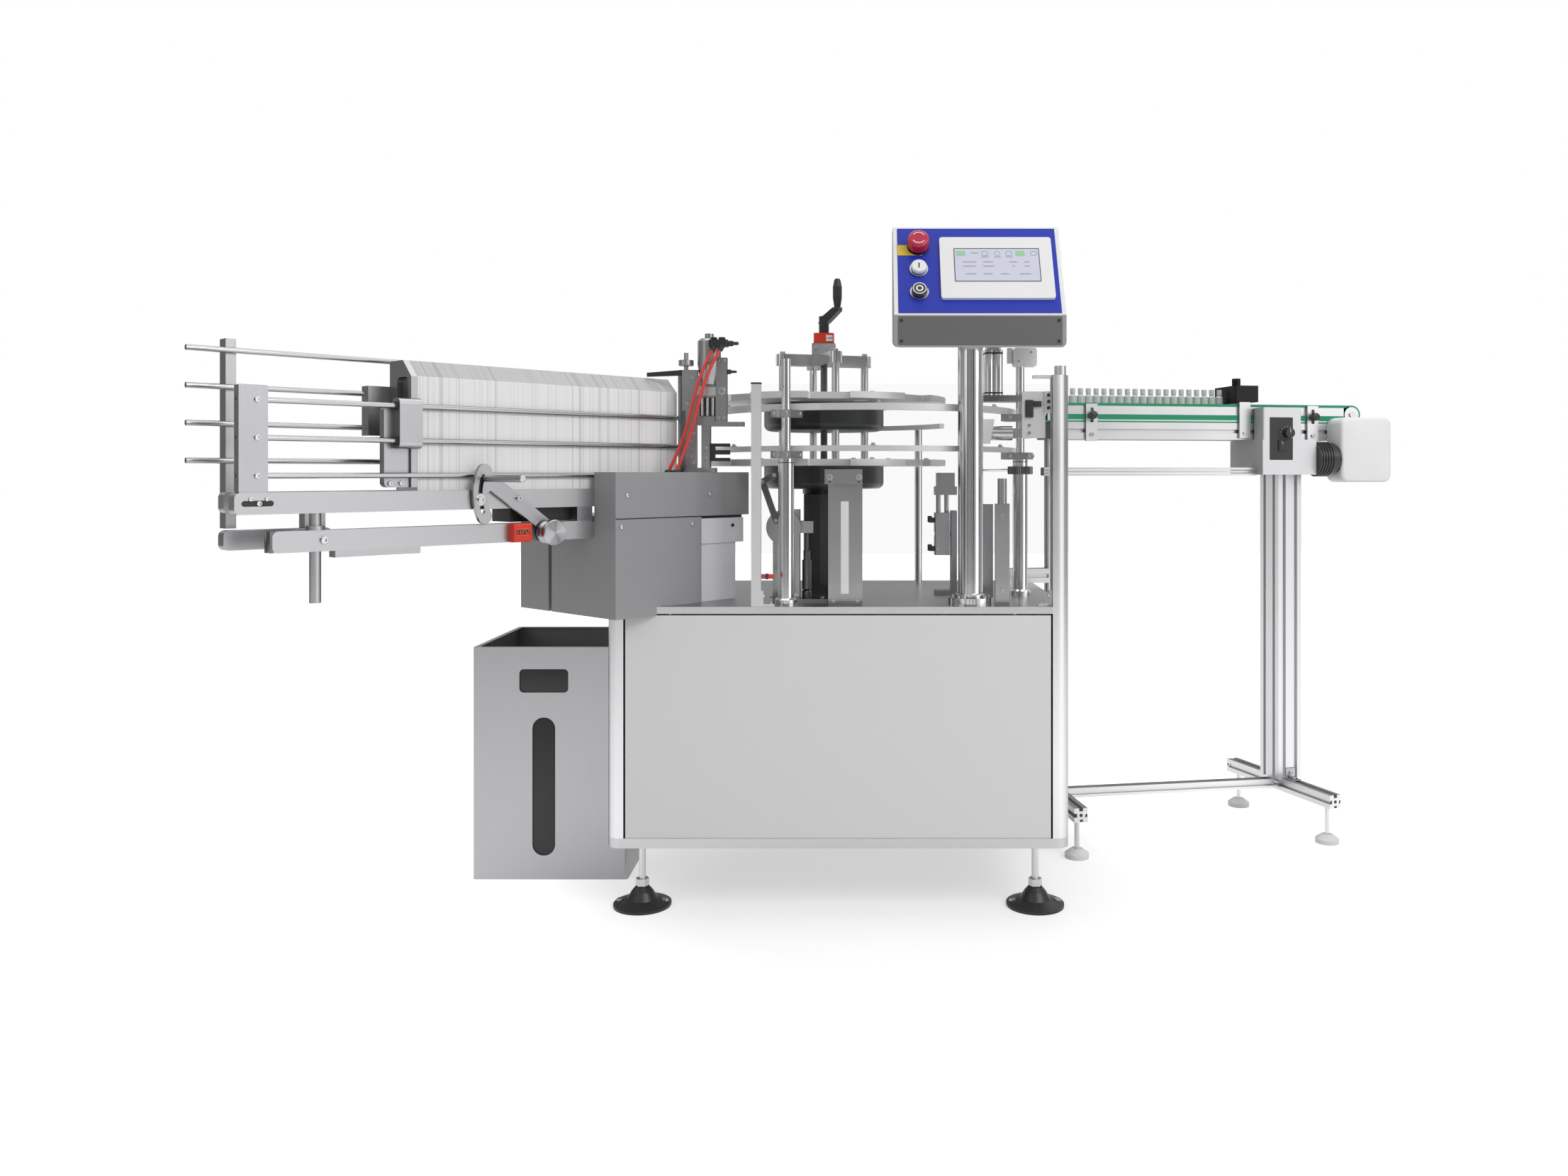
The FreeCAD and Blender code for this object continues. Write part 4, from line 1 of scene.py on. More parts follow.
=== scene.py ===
import json
import math
import bmesh
import bpy
import numpy as np
from bpy.props import FloatProperty, FloatVectorProperty, PointerProperty
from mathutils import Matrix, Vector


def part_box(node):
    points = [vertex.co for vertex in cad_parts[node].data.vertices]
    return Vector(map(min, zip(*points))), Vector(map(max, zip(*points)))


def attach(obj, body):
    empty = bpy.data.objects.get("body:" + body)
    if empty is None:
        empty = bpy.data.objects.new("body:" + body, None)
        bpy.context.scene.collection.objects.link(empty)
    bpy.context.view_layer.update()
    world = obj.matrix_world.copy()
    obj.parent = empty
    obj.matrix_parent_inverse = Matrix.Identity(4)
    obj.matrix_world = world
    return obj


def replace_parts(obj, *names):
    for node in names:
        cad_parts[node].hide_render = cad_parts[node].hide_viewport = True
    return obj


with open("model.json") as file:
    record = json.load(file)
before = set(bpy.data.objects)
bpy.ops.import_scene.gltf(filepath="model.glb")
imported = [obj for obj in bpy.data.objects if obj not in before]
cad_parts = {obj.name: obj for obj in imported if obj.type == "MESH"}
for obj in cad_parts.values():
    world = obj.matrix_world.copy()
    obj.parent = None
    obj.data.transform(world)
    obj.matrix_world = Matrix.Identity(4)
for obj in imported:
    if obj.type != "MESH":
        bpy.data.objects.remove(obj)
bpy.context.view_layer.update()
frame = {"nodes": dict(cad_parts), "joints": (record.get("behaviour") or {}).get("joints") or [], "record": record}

bl_info = {
    "name": "Automatic Cartoner",
    "version": (1, 0, 0),
    "blender": (4, 5, 0),
    "location": "View3D > Sidebar > Cartoner",
    "description": "Finishes and fittings of an automatic cartoner",
    "category": "Object",
}

JOINTS = {joint["name"]: joint for joint in frame["joints"]}
MM = 0.001


# Places: 4 by 4 frames in millimetres, each on its own part of the machine

def move(x, y, z):
    """Frame moved by x, y, z."""
    place = np.eye(4)
    place[:3, 3] = (x, y, z)
    return place


def turn(axis, degrees):
    """Frame turned about one of its own axes, by the cosine and sine of the angle."""
    c, s = math.cos(math.radians(degrees)), math.sin(math.radians(degrees))
    place = np.eye(4)
    i, j = {"x": (1, 2), "y": (2, 0), "z": (0, 1)}[axis]
    place[i, i], place[i, j], place[j, i], place[j, j] = c, -s, s, c
    return place


def axes(x_axis, z_axis, origin):
    """Frame from its X and Z directions and its origin in metres."""
    place = np.eye(4)
    place[:3, 0] = x_axis
    place[:3, 2] = z_axis
    place[:3, 1] = np.cross(z_axis, x_axis)
    place[:3, 3] = np.array(origin) / MM
    return place


def joint_frame(name, x_axis, offset):
    """Upright frame whose origin lies a given offset short of a joint's place."""
    place = axes(x_axis, (0, 0, 1), JOINTS[name]["pos_m"])
    place[:3, 3] -= place[:3, :3] @ np.array(offset, float)
    return place


# Places in the groups' own frames, in millimetres: where each frame's joint or panel lies, and on the cabinet
# the turret's axis, the two guide columns and the deck

CLAMP_KNOB = (430, 0, 669)
SPEED_KNOB = (487, 56, 850)
LOWER_STAR_FOOT = (0, 0, 779)
FACE_RISE = 56
LIP_RISE = 29
TURRET_AXIS = (45, 320)
LEFT_COLUMN = (-92, 40)
RIGHT_COLUMN = (340, 196)
DECK_TOP = 535

BASE_LOW, BASE_HIGH = (np.array(corner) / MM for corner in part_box("base_plate"))
CABINET = move((BASE_LOW[0] + BASE_HIGH[0]) / 2, BASE_LOW[1], 0)
ALONG_MAGAZINE = JOINTS["pusher_slide"]["axis"]
MAGAZINE = joint_frame("magazine_knob_turn", ALONG_MAGAZINE, CLAMP_KNOB)
TO_FRONT = JOINTS["speed_turn"]["axis"]
CONVEYOR = joint_frame("speed_turn", (-TO_FRONT[1], TO_FRONT[0], 0), SPEED_KNOB)
TURRET = joint_frame("turret_spin", (1, 0, 0), LOWER_STAR_FOOT)
BOX_LOW, BOX_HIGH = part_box("panel_box")
BOX_MIDDLE = (BOX_LOW[0] + BOX_HIGH[0]) / 2
FACE = axes((1, 0, 0), JOINTS["start_press"]["axis"], (BOX_MIDDLE, BOX_LOW[1], BOX_LOW[2] + FACE_RISE * MM))
FACE_LIP = axes((1, 0, 0), (0, -1, 0), (BOX_MIDDLE, BOX_LOW[1], BOX_LOW[2] + LIP_RISE * MM))


# Surfaces: each is an array of points and an array of quads

def grid_quads(rows, columns, closed=True):
    """Quads between neighbouring rows and columns of a grid; closed columns join the last to the first."""
    spans = columns if closed else columns - 1
    row, column = np.meshgrid(np.arange(rows - 1), np.arange(spans), indexing="ij")
    here, below = row * columns, (row + 1) * columns
    after = (column + 1) % columns
    return np.stack([here + column, here + after, below + after, below + column], -1).reshape(-1, 4)


def around(sides):
    """Even angles round a circle."""
    return np.linspace(0, 2 * np.pi, sides, endpoint=False)


def laid(outline, z):
    """Outline of (x, y) points laid flat at a height."""
    return np.column_stack([outline, np.full(len(outline), z)])


def turned(profile, sides=28):
    """Surface about Z: (radius cos t, radius sin t, height) over rows of a profile, where a row's radius is
    one value or one for each angle t."""
    t = around(sides)
    rows = [np.column_stack([radius * np.cos(t), radius * np.sin(t), np.full(sides, z)])
            for radius, z in profile]
    return np.concatenate(rows), grid_quads(len(rows), sides)


def disc(radius, height, sides=20):
    """Plain round plate."""
    return turned([(0, 0), (radius, 0), (radius, height), (0, height)], sides)


def prism(outline, height, chamfer=0.0):
    """Outline carried up Z, its rim drawn in by the chamfer at both ends and closed to its middle."""
    middle = (outline.max(0) + outline.min(0)) / 2
    drawn_in = 1 - chamfer / ((outline.max(0) - outline.min(0)) / 2)
    levels = [(0, 0), (drawn_in, 0), (1, chamfer), (1, height - chamfer), (drawn_in, height), (0, height)]
    rings = [laid(middle + (outline - middle) * scale, z) for scale, z in levels]
    return np.concatenate(rings), grid_quads(len(levels), len(outline))


def cushioned(width, depth, height, radius, edge):
    """Rounded block whose top rim follows a quarter circle: drawn in by edge (1 - cos t) and raised by
    edge sin t."""
    t = np.linspace(0, np.pi / 2, 5)
    levels = [(0.0, 0.0), *zip(edge * (1 - np.cos(t)), height - edge + edge * np.sin(t))]
    half = np.array([width / 2, depth / 2])
    outline = rounded(width, depth, radius, 6)
    rings = [laid(outline * (1 - inset / half), z) for inset, z in levels]
    foot, top = (laid(0 * outline, z) for z in (0.0, height))
    return np.concatenate([foot, *rings, top]), grid_quads(len(levels) + 2, len(outline))


def rounded(width, depth, radius, steps=4):
    """Rectangle round the origin with quarter circles at its corners, each the first one turned about Z."""
    t = np.linspace(0, np.pi / 2, steps + 1)
    corner = np.column_stack([np.cos(t), np.sin(t)]) * radius
    reach = np.array([width / 2 - radius, depth / 2 - radius])
    sides = np.array([(1, 1), (-1, 1), (-1, -1), (1, -1)])
    return np.concatenate([side * reach + corner @ turn("z", 90 * quarter)[:2, :2].T
                           for quarter, side in enumerate(sides)])


def slab(width, depth, height, radius=1.0, chamfer=0.4):
    """Rounded rectangle with a thickness, its foot on the origin."""
    return prism(rounded(width, depth, radius), height, chamfer)


def bar(x0, y0, z0, x1, y1, z1, radius=0.8, chamfer=0.4):
    """Slab between two corners."""
    return put(slab(x1 - x0, y1 - y0, z1 - z0, radius, chamfer), move((x0 + x1) / 2, (y0 + y1) / 2, z0))


def arc_strip(radius, width, first, last, height, steps=24):
    """Flat strip bent round Z: its section's corners carried from one angle to another, with closed ends."""
    t = np.radians(np.linspace(first, last, steps))
    t = np.concatenate([t[:1], t, t[-1:]])[:, None]
    inner, outer = radius - width / 2, radius + width / 2
    reach = np.tile(np.array([inner, outer, outer, inner], float), (steps + 2, 1))
    rise = np.tile(np.array([0, 0, height, height], float), (steps + 2, 1))
    reach[[0, -1]] = radius
    rise[[0, -1]] = height / 2
    points = np.stack([reach * np.cos(t), reach * np.sin(t), rise], -1)
    return points.reshape(-1, 3), grid_quads(steps + 2, 4)


# Shares of a socket screw's head: half the socket's width, the height of its floor, and the broken rim

SOCKET_SHARE = 0.52
SOCKET_FLOOR = 0.4
RIM_SHARE = 0.9


def cap_screw(radius, height):
    """Socket head: a turned head whose inner rows follow a hexagon, with the radius its half width over the
    cosine of the angle from the middle of a flat."""
    sides = 24
    socket = radius * SOCKET_SHARE / np.cos((around(sides) % (np.pi / 3)) - np.pi / 6)
    bottom = height * SOCKET_FLOOR
    return turned([(0, bottom), (socket, bottom), (socket, height), (radius * RIM_SHARE, height),
                   (radius, height * RIM_SHARE), (radius, 0), (0, 0)], sides)


def hexagon(radius):
    """Six corners on a circle."""
    t = around(6)
    return np.column_stack([np.cos(t), np.sin(t)]) * radius


def put(shape, place):
    """Shape moved into a frame."""
    points, quads = shape
    return points @ place[:3, :3].T + place[:3, 3], quads


def several(shape, places):
    """One shape at many places, as one array of points and one of quads."""
    return together([put(shape, place) for place in places])


def together(shapes):
    """Shapes joined into one array of points and one of quads."""
    counts = np.cumsum([0] + [len(points) for points, _ in shapes[:-1]])
    quads = np.concatenate([faces + start for (_, faces), start in zip(shapes, counts)])
    return np.concatenate([points for points, _ in shapes]), quads


# Distances in metres within which points are one, and edges have no length

SAME_POINT = 2e-6
NO_LENGTH = 1e-7


def build(name, shape, material, body="machine", crease=35.0):
    """Piece from a shape in millimetres: doubles merged, normals outward, round faces smooth."""
    points, quads = shape
    mesh = bpy.data.meshes.new(name)
    mesh.from_pydata((points * MM).tolist(), [], quads.tolist())
    mesh.validate()
    work = bmesh.new()
    work.from_mesh(mesh)
    bmesh.ops.remove_doubles(work, verts=work.verts, dist=SAME_POINT)
    bmesh.ops.dissolve_degenerate(work, edges=work.edges, dist=NO_LENGTH)
    bmesh.ops.recalc_face_normals(work, faces=work.faces)
    work.to_mesh(mesh)
    work.free()
    mesh.shade_smooth()
    mesh.set_sharp_from_angle(angle=math.radians(crease))
    mesh.materials.append(bpy.data.materials[material])
    piece = bpy.data.objects.new(name, mesh)
    bpy.context.scene.collection.objects.link(piece)
    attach(piece, body)
    return piece


# Nodes of a material, each fed by sockets or plain values

def feed(tree, socket, value):
    """Link a socket to another one, or give it a plain value."""
    if isinstance(value, bpy.types.NodeSocket):
        tree.links.new(value, socket)
    else:
        socket.default_value = value


def calculate(tree, kind, operation, *given):
    """Node of kind Math or VectorMath, its inputs fed in their order."""
    node = tree.nodes.new("ShaderNode" + kind)
    node.operation = operation
    for socket, value in zip(node.inputs, given):
        feed(tree, socket, value)
    return node


def math_node(tree, operation, *given):
    """Result of a Math node."""
    return calculate(tree, "Math", operation, *given).outputs[0]


def object_place(tree):
    """Place of a point in its object, whose own origin is the world's."""
    return tree.nodes.new("ShaderNodeTexCoord").outputs["Object"]


def along(tree, direction):
    """Place of a point along a direction, in metres from the origin."""
    direction = tuple(float(part) for part in direction)
    return calculate(tree, "VectorMath", "DOT_PRODUCT", object_place(tree), direction).outputs["Value"]


def between(tree, direction, low, high):
    """1 where the place along a direction lies between two values, 0 elsewhere."""
    place = along(tree, direction)
    above = math_node(tree, "GREATER_THAN", place, float(low))
    below = math_node(tree, "LESS_THAN", place, float(high))
    return math_node(tree, "MULTIPLY", above, below)


def ramp(tree, value, low, high, start, end, ease="SMOOTHSTEP"):
    """Value carried from one range, low to high, to another, start to end."""
    node = tree.nodes.new("ShaderNodeMapRange")
    node.interpolation_type = ease
    for label, given in zip(("Value", "From Min", "From Max", "To Min", "To Max"),
                            (value, low, high, start, end)):
        feed(tree, node.inputs[label], given)
    return node.outputs["Result"]


def swing(tree, vector, scale, detail):
    """Noise less a half, so that it swings about zero."""
    noise = tree.nodes.new("ShaderNodeTexNoise")
    for label, given in zip(("Vector", "Scale", "Detail"), (vector, scale, detail)):
        feed(tree, noise.inputs[label], given)
    return math_node(tree, "SUBTRACT", noise.outputs["Fac"], 0.5)


# Shared effects

def effect(name, results, **inputs):
    """Empty node group: its inputs start at the given values, and each of its results is one number."""
    group = bpy.data.node_groups.new(name, "ShaderNodeTree")
    for label, value in inputs.items():
        kind = "NodeSocketVector" if isinstance(value, tuple) else "NodeSocketFloat"
        group.interface.new_socket(name=label, in_out="INPUT", socket_type=kind).default_value = value
    for label in results:
        group.interface.new_socket(name=label, in_out="OUTPUT", socket_type="NodeSocketFloat")
    return group, group.nodes.new("NodeGroupInput").outputs, group.nodes.new("NodeGroupOutput").inputs


def wear_effect():
    """Cloudy handling marks: one noise makes the skin rougher and shades it, a little and in patches."""
    tree, given, out = effect("handling_marks", ("Roughness", "Shade"),
                              Scale=9.0, Roughness=0.3, Spread=0.1, Shade=0.06)
    centred = swing(tree, object_place(tree), given["Scale"], 4)
    feed(tree, out["Roughness"],
         math_node(tree, "MULTIPLY_ADD", centred, given["Spread"], given["Roughness"]))
    feed(tree, out["Shade"], math_node(tree, "MULTIPLY_ADD", centred, given["Shade"], 1.0))


def relief(tree, out, centred, depth):
    """Results of an effect that raises the skin by a noise and shades it by as much."""
    height = math_node(tree, "MULTIPLY", centred, depth)
    feed(tree, out["Height"], height)
    feed(tree, out["Shade"], math_node(tree, "ADD", height, 1.0))


def lines_effect():
    """Fine lines along one direction: noise on coordinates squeezed across the lines."""
    tree, given, out = effect("brushed_lines", ("Height", "Shade"), Squeeze=(1.0, 1.0, 60.0), Depth=0.1)
    squeezed = calculate(tree, "VectorMath", "MULTIPLY", object_place(tree), given["Squeeze"]).outputs[0]
    relief(tree, out, swing(tree, squeezed, 14.0, 3), given["Depth"])


def speckle_effect():
    """Small grain all over: a fine noise as height and as shade."""
    tree, given, out = effect("fine_grain", ("Height", "Shade"), Scale=900.0, Depth=0.1)
    relief(tree, out, swing(tree, object_place(tree), given["Scale"], 2), given["Depth"])


# Materials: which parts of the frame have a finish of their own, and the slots of the finishes that share one

def inverted(groups):
    """Each member of each group, with the name of its group."""
    return {member: name for name, members in groups.items() for member in members}


OWN_FINISH = inverted({
    "box_grey": ("panel_box",),
    "box_white": ("drive_box",),
    "rod_steel": ("magazine_rods",),
    "picker_steel": ("picker",),
    "bin_steel": ("reject_bin",),
    "foot_pad": ("levelling_feet",),
    "stand_foot_pad": ("stand_feet",),
    "cylinder_steel": ("deck_cylinders",),
    "beam_aluminium": ("carton_beams", "lower_beam"),
    "stand_aluminium": ("conveyor_bed", "conveyor_support", "stand_columns", "foot_bars", "stand_bars"),
    "star_aluminium": ("guard_bar", "lower_star", "upper_star", "upper_guide_ring", "lower_guide_ring"),
})

# Painted shade at rims turned from the view: the blend of the facing value, and the values at which it starts and
# ends

RIM_BLEND = 0.35
RIM_START = 0.12
RIM_END = 0.75

# Relief of lines and grain: its height in millimetres and its strength

RELIEF_HEIGHT = 0.02
RELIEF_STRENGTH = 0.5


def group_node(tree, name, **values):
    """A shared effect placed in a material with its own values."""
    node = tree.nodes.new("ShaderNodeGroup")
    node.node_tree = bpy.data.node_groups[name]
    for label, value in values.items():
        node.inputs[label].default_value = value
    return node.outputs


def product(tree, factors):
    """Product of one or more sockets."""
    total = factors[0]
    for factor in factors[1:]:
        total = math_node(tree, "MULTIPLY", total, factor)
    return total


def finish(name, color, roughness, metallic=0.0, spread=0.1, shade=0.08, marks=9.0, lines=None, depth=0.08,
           grain=0.0, grain_scale=900.0, coat=0.0, rim=1.0, own=None):
    """Principled material with handling marks, and with brushed lines, grain, painted shade at the rim where the
    surface turns from the view, or a pattern of its own where they are asked for; some of these patterns paint
    light or shade."""
    material = bpy.data.materials.new(name)
    material.use_nodes = True
    tree = material.node_tree
    shader = tree.nodes["Principled BSDF"]
    shader.inputs["Metallic"].default_value = metallic
    shader.inputs["Coat Weight"].default_value = coat
    effects = []
    if lines:
        effects.append(group_node(tree, "brushed_lines", Squeeze=lines, Depth=depth))
    if grain:
        effects.append(group_node(tree, "fine_grain", Scale=grain_scale, Depth=grain))
    wear = group_node(tree, "handling_marks", Scale=marks, Roughness=roughness, Spread=spread, Shade=shade)
    feed(tree, shader.inputs["Roughness"], wear["Roughness"])
    shades = [group["Shade"] for group in (wear, *effects)]
    # Painted shade: the base colour darkens towards rims that turn from the view
    if rim < 1.0:
        facing = tree.nodes.new("ShaderNodeLayerWeight")
        facing.inputs["Blend"].default_value = RIM_BLEND
        shades.append(ramp(tree, facing.outputs["Facing"], RIM_START, RIM_END, 1.0, rim, "LINEAR"))
    if own:
        shades.append(own(tree))
    tinted = calculate(tree, "VectorMath", "SCALE", color[:3])
    feed(tree, tinted.inputs["Scale"], product(tree, shades))
    feed(tree, shader.inputs["Base Color"], tinted.outputs[0])
    if effects:
        heights = [group["Height"] for group in effects]
        bump = tree.nodes.new("ShaderNodeBump")
        bump.inputs["Strength"].default_value = RELIEF_STRENGTH
        bump.inputs["Distance"].default_value = RELIEF_HEIGHT * MM
        feed(tree, bump.inputs["Height"],
             heights[0] if len(heights) == 1 else math_node(tree, "ADD", *heights))
        feed(tree, shader.inputs["Normal"], bump.outputs["Normal"])
    return shader


def steel_finishes(colors):
    """Stainless sheet, deck, profiles, machined plates, cylinders and chrome."""
    finish("satin_steel", colors.steel, 0.34, 1.0, lines=(60.0, 60.0, 1.2), depth=0.09, rim=0.6)
    finish("deck_steel", colors.deck, 0.30, 1.0, lines=(1.0, 60.0, 60.0), depth=0.06, rim=0.6)
    finish("post_aluminium", colors.aluminium, 0.34, 1.0, shade=0.05, grain=0.05, rim=0.45)
    finish("machined_aluminium", colors.machined, 0.32, 1.0, shade=0.1, lines=(50.0, 50.0, 2.0), depth=0.12,
           rim=0.35)
    finish("chrome_bar", colors.chrome, 0.14, 1.0, spread=0.05, shade=0.04, lines=(2.0, 2.0, 80.0),
           depth=0.03, rim=0.55)
    finish("rod_steel", colors.picker, 0.2, 1.0, spread=0.05, shade=0.04, rim=0.12)
    finish("picker_steel", colors.picker, 0.32, 1.0, shade=0.2, lines=(50.0, 50.0, 2.0), depth=0.12, rim=0.3)
    finish("screw_steel", colors.screw, 0.28, 1.0, shade=0.15, marks=60.0, rim=0.3)
    finish("dark_steel", colors.dark, 0.32, 1.0, shade=0.2, marks=30.0)
    finish("stand_aluminium", colors.aluminium, 0.34, 1.0, shade=0.05, grain=0.05, rim=0.4, own=stop_shade)
    finish("star_aluminium", colors.aluminium, 0.42, 0.45, shade=0.06, marks=5.0, lines=(30.0, 30.0, 2.0),
           depth=0.08)
    finish("cylinder_steel", colors.dark, 0.3, 1.0, shade=0.15, marks=30.0, own=cylinder_shade)
    finish("bin_steel", colors.machined, 0.4, 1.0, lines=(60.0, 60.0, 1.2), depth=0.09, rim=0.8)
    finish("beam_aluminium", colors.profile, 0.4, 1.0, shade=0.05, lines=(2.0, 2.0, 60.0), depth=0.08,
           rim=0.5)
    finish("turned_painted_sheen", colors.machined, 0.3, 1.0, shade=0.05, own=fan_painted_sheen)


def paint_finishes(colors):
    """Painted sheet and mouldings."""
    finish("pale_panel", colors.panel, 0.42, shade=0.035, marks=3.0, grain=0.02)
    finish("grey_cover", colors.cover, 0.42, shade=0.06, marks=3.0, grain=0.05, own=skirt_painted_light)
    finish("black_steel", colors.black, 0.36, shade=0.3, grain=0.2)
    finish("black_plastic", colors.black, 0.42, shade=0.3, grain=0.2)
    finish("box_grey", colors.box, 0.42, shade=0.05, grain=0.04)
    finish("box_white", colors.machined, 0.4, shade=0.03, grain=0.02, own=front_shade)
    finish("lip_painted_shade", colors.lip, 0.45, shade=0.06, grain=0.05)
    finish("white_plastic", colors.white, 0.38, shade=0.03, grain=0.02)
    finish("blue_panel", colors.blue, 0.35, shade=0.05, grain=0.03)
    finish("red_plastic", colors.red, 0.28, shade=0.08, marks=40.0)
    finish("orange_plastic", colors.orange, 0.35, shade=0.08, marks=40.0)
    finish("counter_orange", colors.counter, 0.35, shade=0.08, marks=40.0)
    finish("yellow_plate", colors.yellow, 0.4, shade=0.06, marks=40.0)
    finish("tube_red", colors.tube, 0.3, shade=0.12, marks=40.0, coat=0.2)
    foot = finish("foot_pad", colors.black, 0.38, shade=0.2, marks=30.0)
    two_part(foot, colors.black, colors.screw, FOOT_PAD_TOP)
    foot = finish("stand_foot_pad", colors.panel, 0.38, shade=0.1, marks=30.0)
    two_part(foot, colors.panel, colors.screw, STAND_PAD_TOP)
    finish("belt_green", colors.belt, 0.6, shade=0.1, grain=0.1, grain_scale=1500.0)
    finish("bottle_plastic", colors.bottle, 0.25, shade=0.1, marks=60.0, coat=0.3)
    finish("carton_board", colors.board, 0.6, shade=0.03, own=carton_edges_and_bevel_shade)


# Heights and places, in metres along Z and in millimetres along a frame, at which a part's colour changes

UP = (0, 0, 1)
FOOT_PAD_TOP = 0.0358
STAND_PAD_TOP = 0.0182
SKIRT_START = 716.5
SKIRT_TOP = 0.6885
STOP_SPAN = (386, 444)
STOP_BOTTOM = 0.9165
BEVEL_BOTTOM = 0.9125

# Edges between cartons: the noise's scale, the values between which an edge darkens, and its darkest shade

EDGE_NOISES = ((300.0, 0.52, 0.64, 0.87), (75.0, 0.57, 0.62, 0.8))


def two_part(shader, low, high, height):
    """Lower moulding and upper steel of one part, parted at a height."""
    tree = shader.id_data
    above = math_node(tree, "GREATER_THAN", along(tree, UP), height)
    mix = tree.nodes.new("ShaderNodeMix")
    mix.data_type = "RGBA"
    mix.inputs["A"].default_value = (*low, 1)
    mix.inputs["B"].default_value = (*high, 1)
    feed(tree, mix.inputs["Factor"], above)
    feed(tree, shader.inputs["Base Color"], mix.outputs["Result"])
    feed(tree, shader.inputs["Metallic"], above)


def level_along(place, across):
    """Distance of a point on a frame's first axis, measured along that axis from the origin, in metres."""
    return (place @ move(across, 0, 0))[:3, 3] @ place[:3, 0] * MM


def scaled_where(tree, mask, factor):
    """The factor where a mask is 1, and 1 where it is 0."""
    return math_node(tree, "MULTIPLY_ADD", mask, factor - 1.0, 1.0)


def skirt_painted_light(tree):
    """Painted light: the skirt below the covers' right end is made two and a half times as light, as if lit from
    the right.
    """
    seam = level_along(MAGAZINE, SKIRT_START)
    right = between(tree, MAGAZINE[:3, 0], seam, seam + 1.0)
    return scaled_where(tree, product(tree, [right, between(tree, UP, 0.0, SKIRT_TOP)]), 2.5)


def stop_shade(tree):
    """Black bottle stop over the belt."""
    first, last = (level_along(CONVEYOR, across) for across in STOP_SPAN)
    stop = between(tree, CONVEYOR[:3, 0], first, last)
    return scaled_where(tree, product(tree, [stop, between(tree, UP, STOP_BOTTOM, 1.2)]), 0.04)


def front_shade(tree):
    """Pale front of the grey drive box: twice as light in a thin layer at its front face."""
    inward = CONVEYOR[:3, 1]
    front = (CONVEYOR @ move(*SPEED_KNOB[:2], 0))[:3, 3] @ inward * MM
    return scaled_where(tree, between(tree, inward, front - 0.001, front + 0.0015), 2.0)


def cylinder_shade(tree):
    """Bright steel for the cylinders at the right of the deck, dark for the one at the left."""
    return scaled_where(tree, between(tree, (1, 0, 0), 0.0, 1.0), 3.0)


def fan_painted_sheen(tree):
    """Painted highlight and shade: the bright and dark fans that a turned face reflects, from sines of two and
    seven times the angle round its middle.
    """
    middle = JOINTS["magazine_knob_turn"]["pos_m"]
    away = calculate(tree, "VectorMath", "SUBTRACT", object_place(tree), middle).outputs[0]
    across = calculate(tree, "VectorMath", "DOT_PRODUCT", away, ALONG_MAGAZINE).outputs["Value"]
    up = calculate(tree, "VectorMath", "DOT_PRODUCT", away, UP).outputs["Value"]
    angle = math_node(tree, "ARCTAN2", up, across)
    wave = math_node(tree, "SINE", math_node(tree, "MULTIPLY_ADD", angle, 2.0, 0.9))
    fine = math_node(tree, "SINE", math_node(tree, "MULTIPLY", angle, 7.0))
    mixed = math_node(tree, "MULTIPLY_ADD", fine, 0.25, wave)
    return math_node(tree, "MULTIPLY_ADD", mixed, 0.3, 1.0)


def carton_edges_and_bevel_shade(tree):
    """Thin dark edges between cartons, at the peaks of a fine and a coarse noise along the stack, and a darker
    band of painted shade over the stack's upper bevel, where the cartons' top edges shade one another."""
    place = along(tree, ALONG_MAGAZINE)
    shades = []
    for scale, low, high, darkest in EDGE_NOISES:
        noise = tree.nodes.new("ShaderNodeTexNoise")
        noise.noise_dimensions = "1D"
        for label, given in zip(("W", "Scale", "Detail", "Roughness"), (place, scale, 3, 0.7)):
            feed(tree, noise.inputs[label], given)
        shades.append(ramp(tree, noise.outputs["Fac"], low, high, 1.0, darkest))
    # Painted shade: the upper bevel is 0.6 times as light
    bevel = math_node(tree, "GREATER_THAN", along(tree, UP), BEVEL_BOTTOM)
    return product(tree, [*shades, scaled_where(tree, bevel, 0.6)])


def screen_finish(colors):
    """Lit display glass: a plain glow under a glossy face."""
    finish("screen", colors.bezel, 0.3, shade=0.04)
    glow = finish("display_glow", colors.display, 0.2, shade=0.05, marks=20.0)
    glow.inputs["Emission Color"].default_value = (*colors.display, 1)
    glow.inputs["Emission Strength"].default_value = 0.35
    finish("display_green", colors.green, 0.3, shade=0.05, marks=20.0)
    finish("display_ink", colors.ink, 0.3, shade=0.05, marks=20.0)


def clear_finish(colors):
    """Clear guard sheet: thin, nearly see-through, with a glossy skin."""
    shader = finish("clear_sheet", colors.clear, 0.06, spread=0.03, shade=0.02)
    shader.inputs["Alpha"].default_value = 0.03
    shader.inputs["IOR"].default_value = 1.3


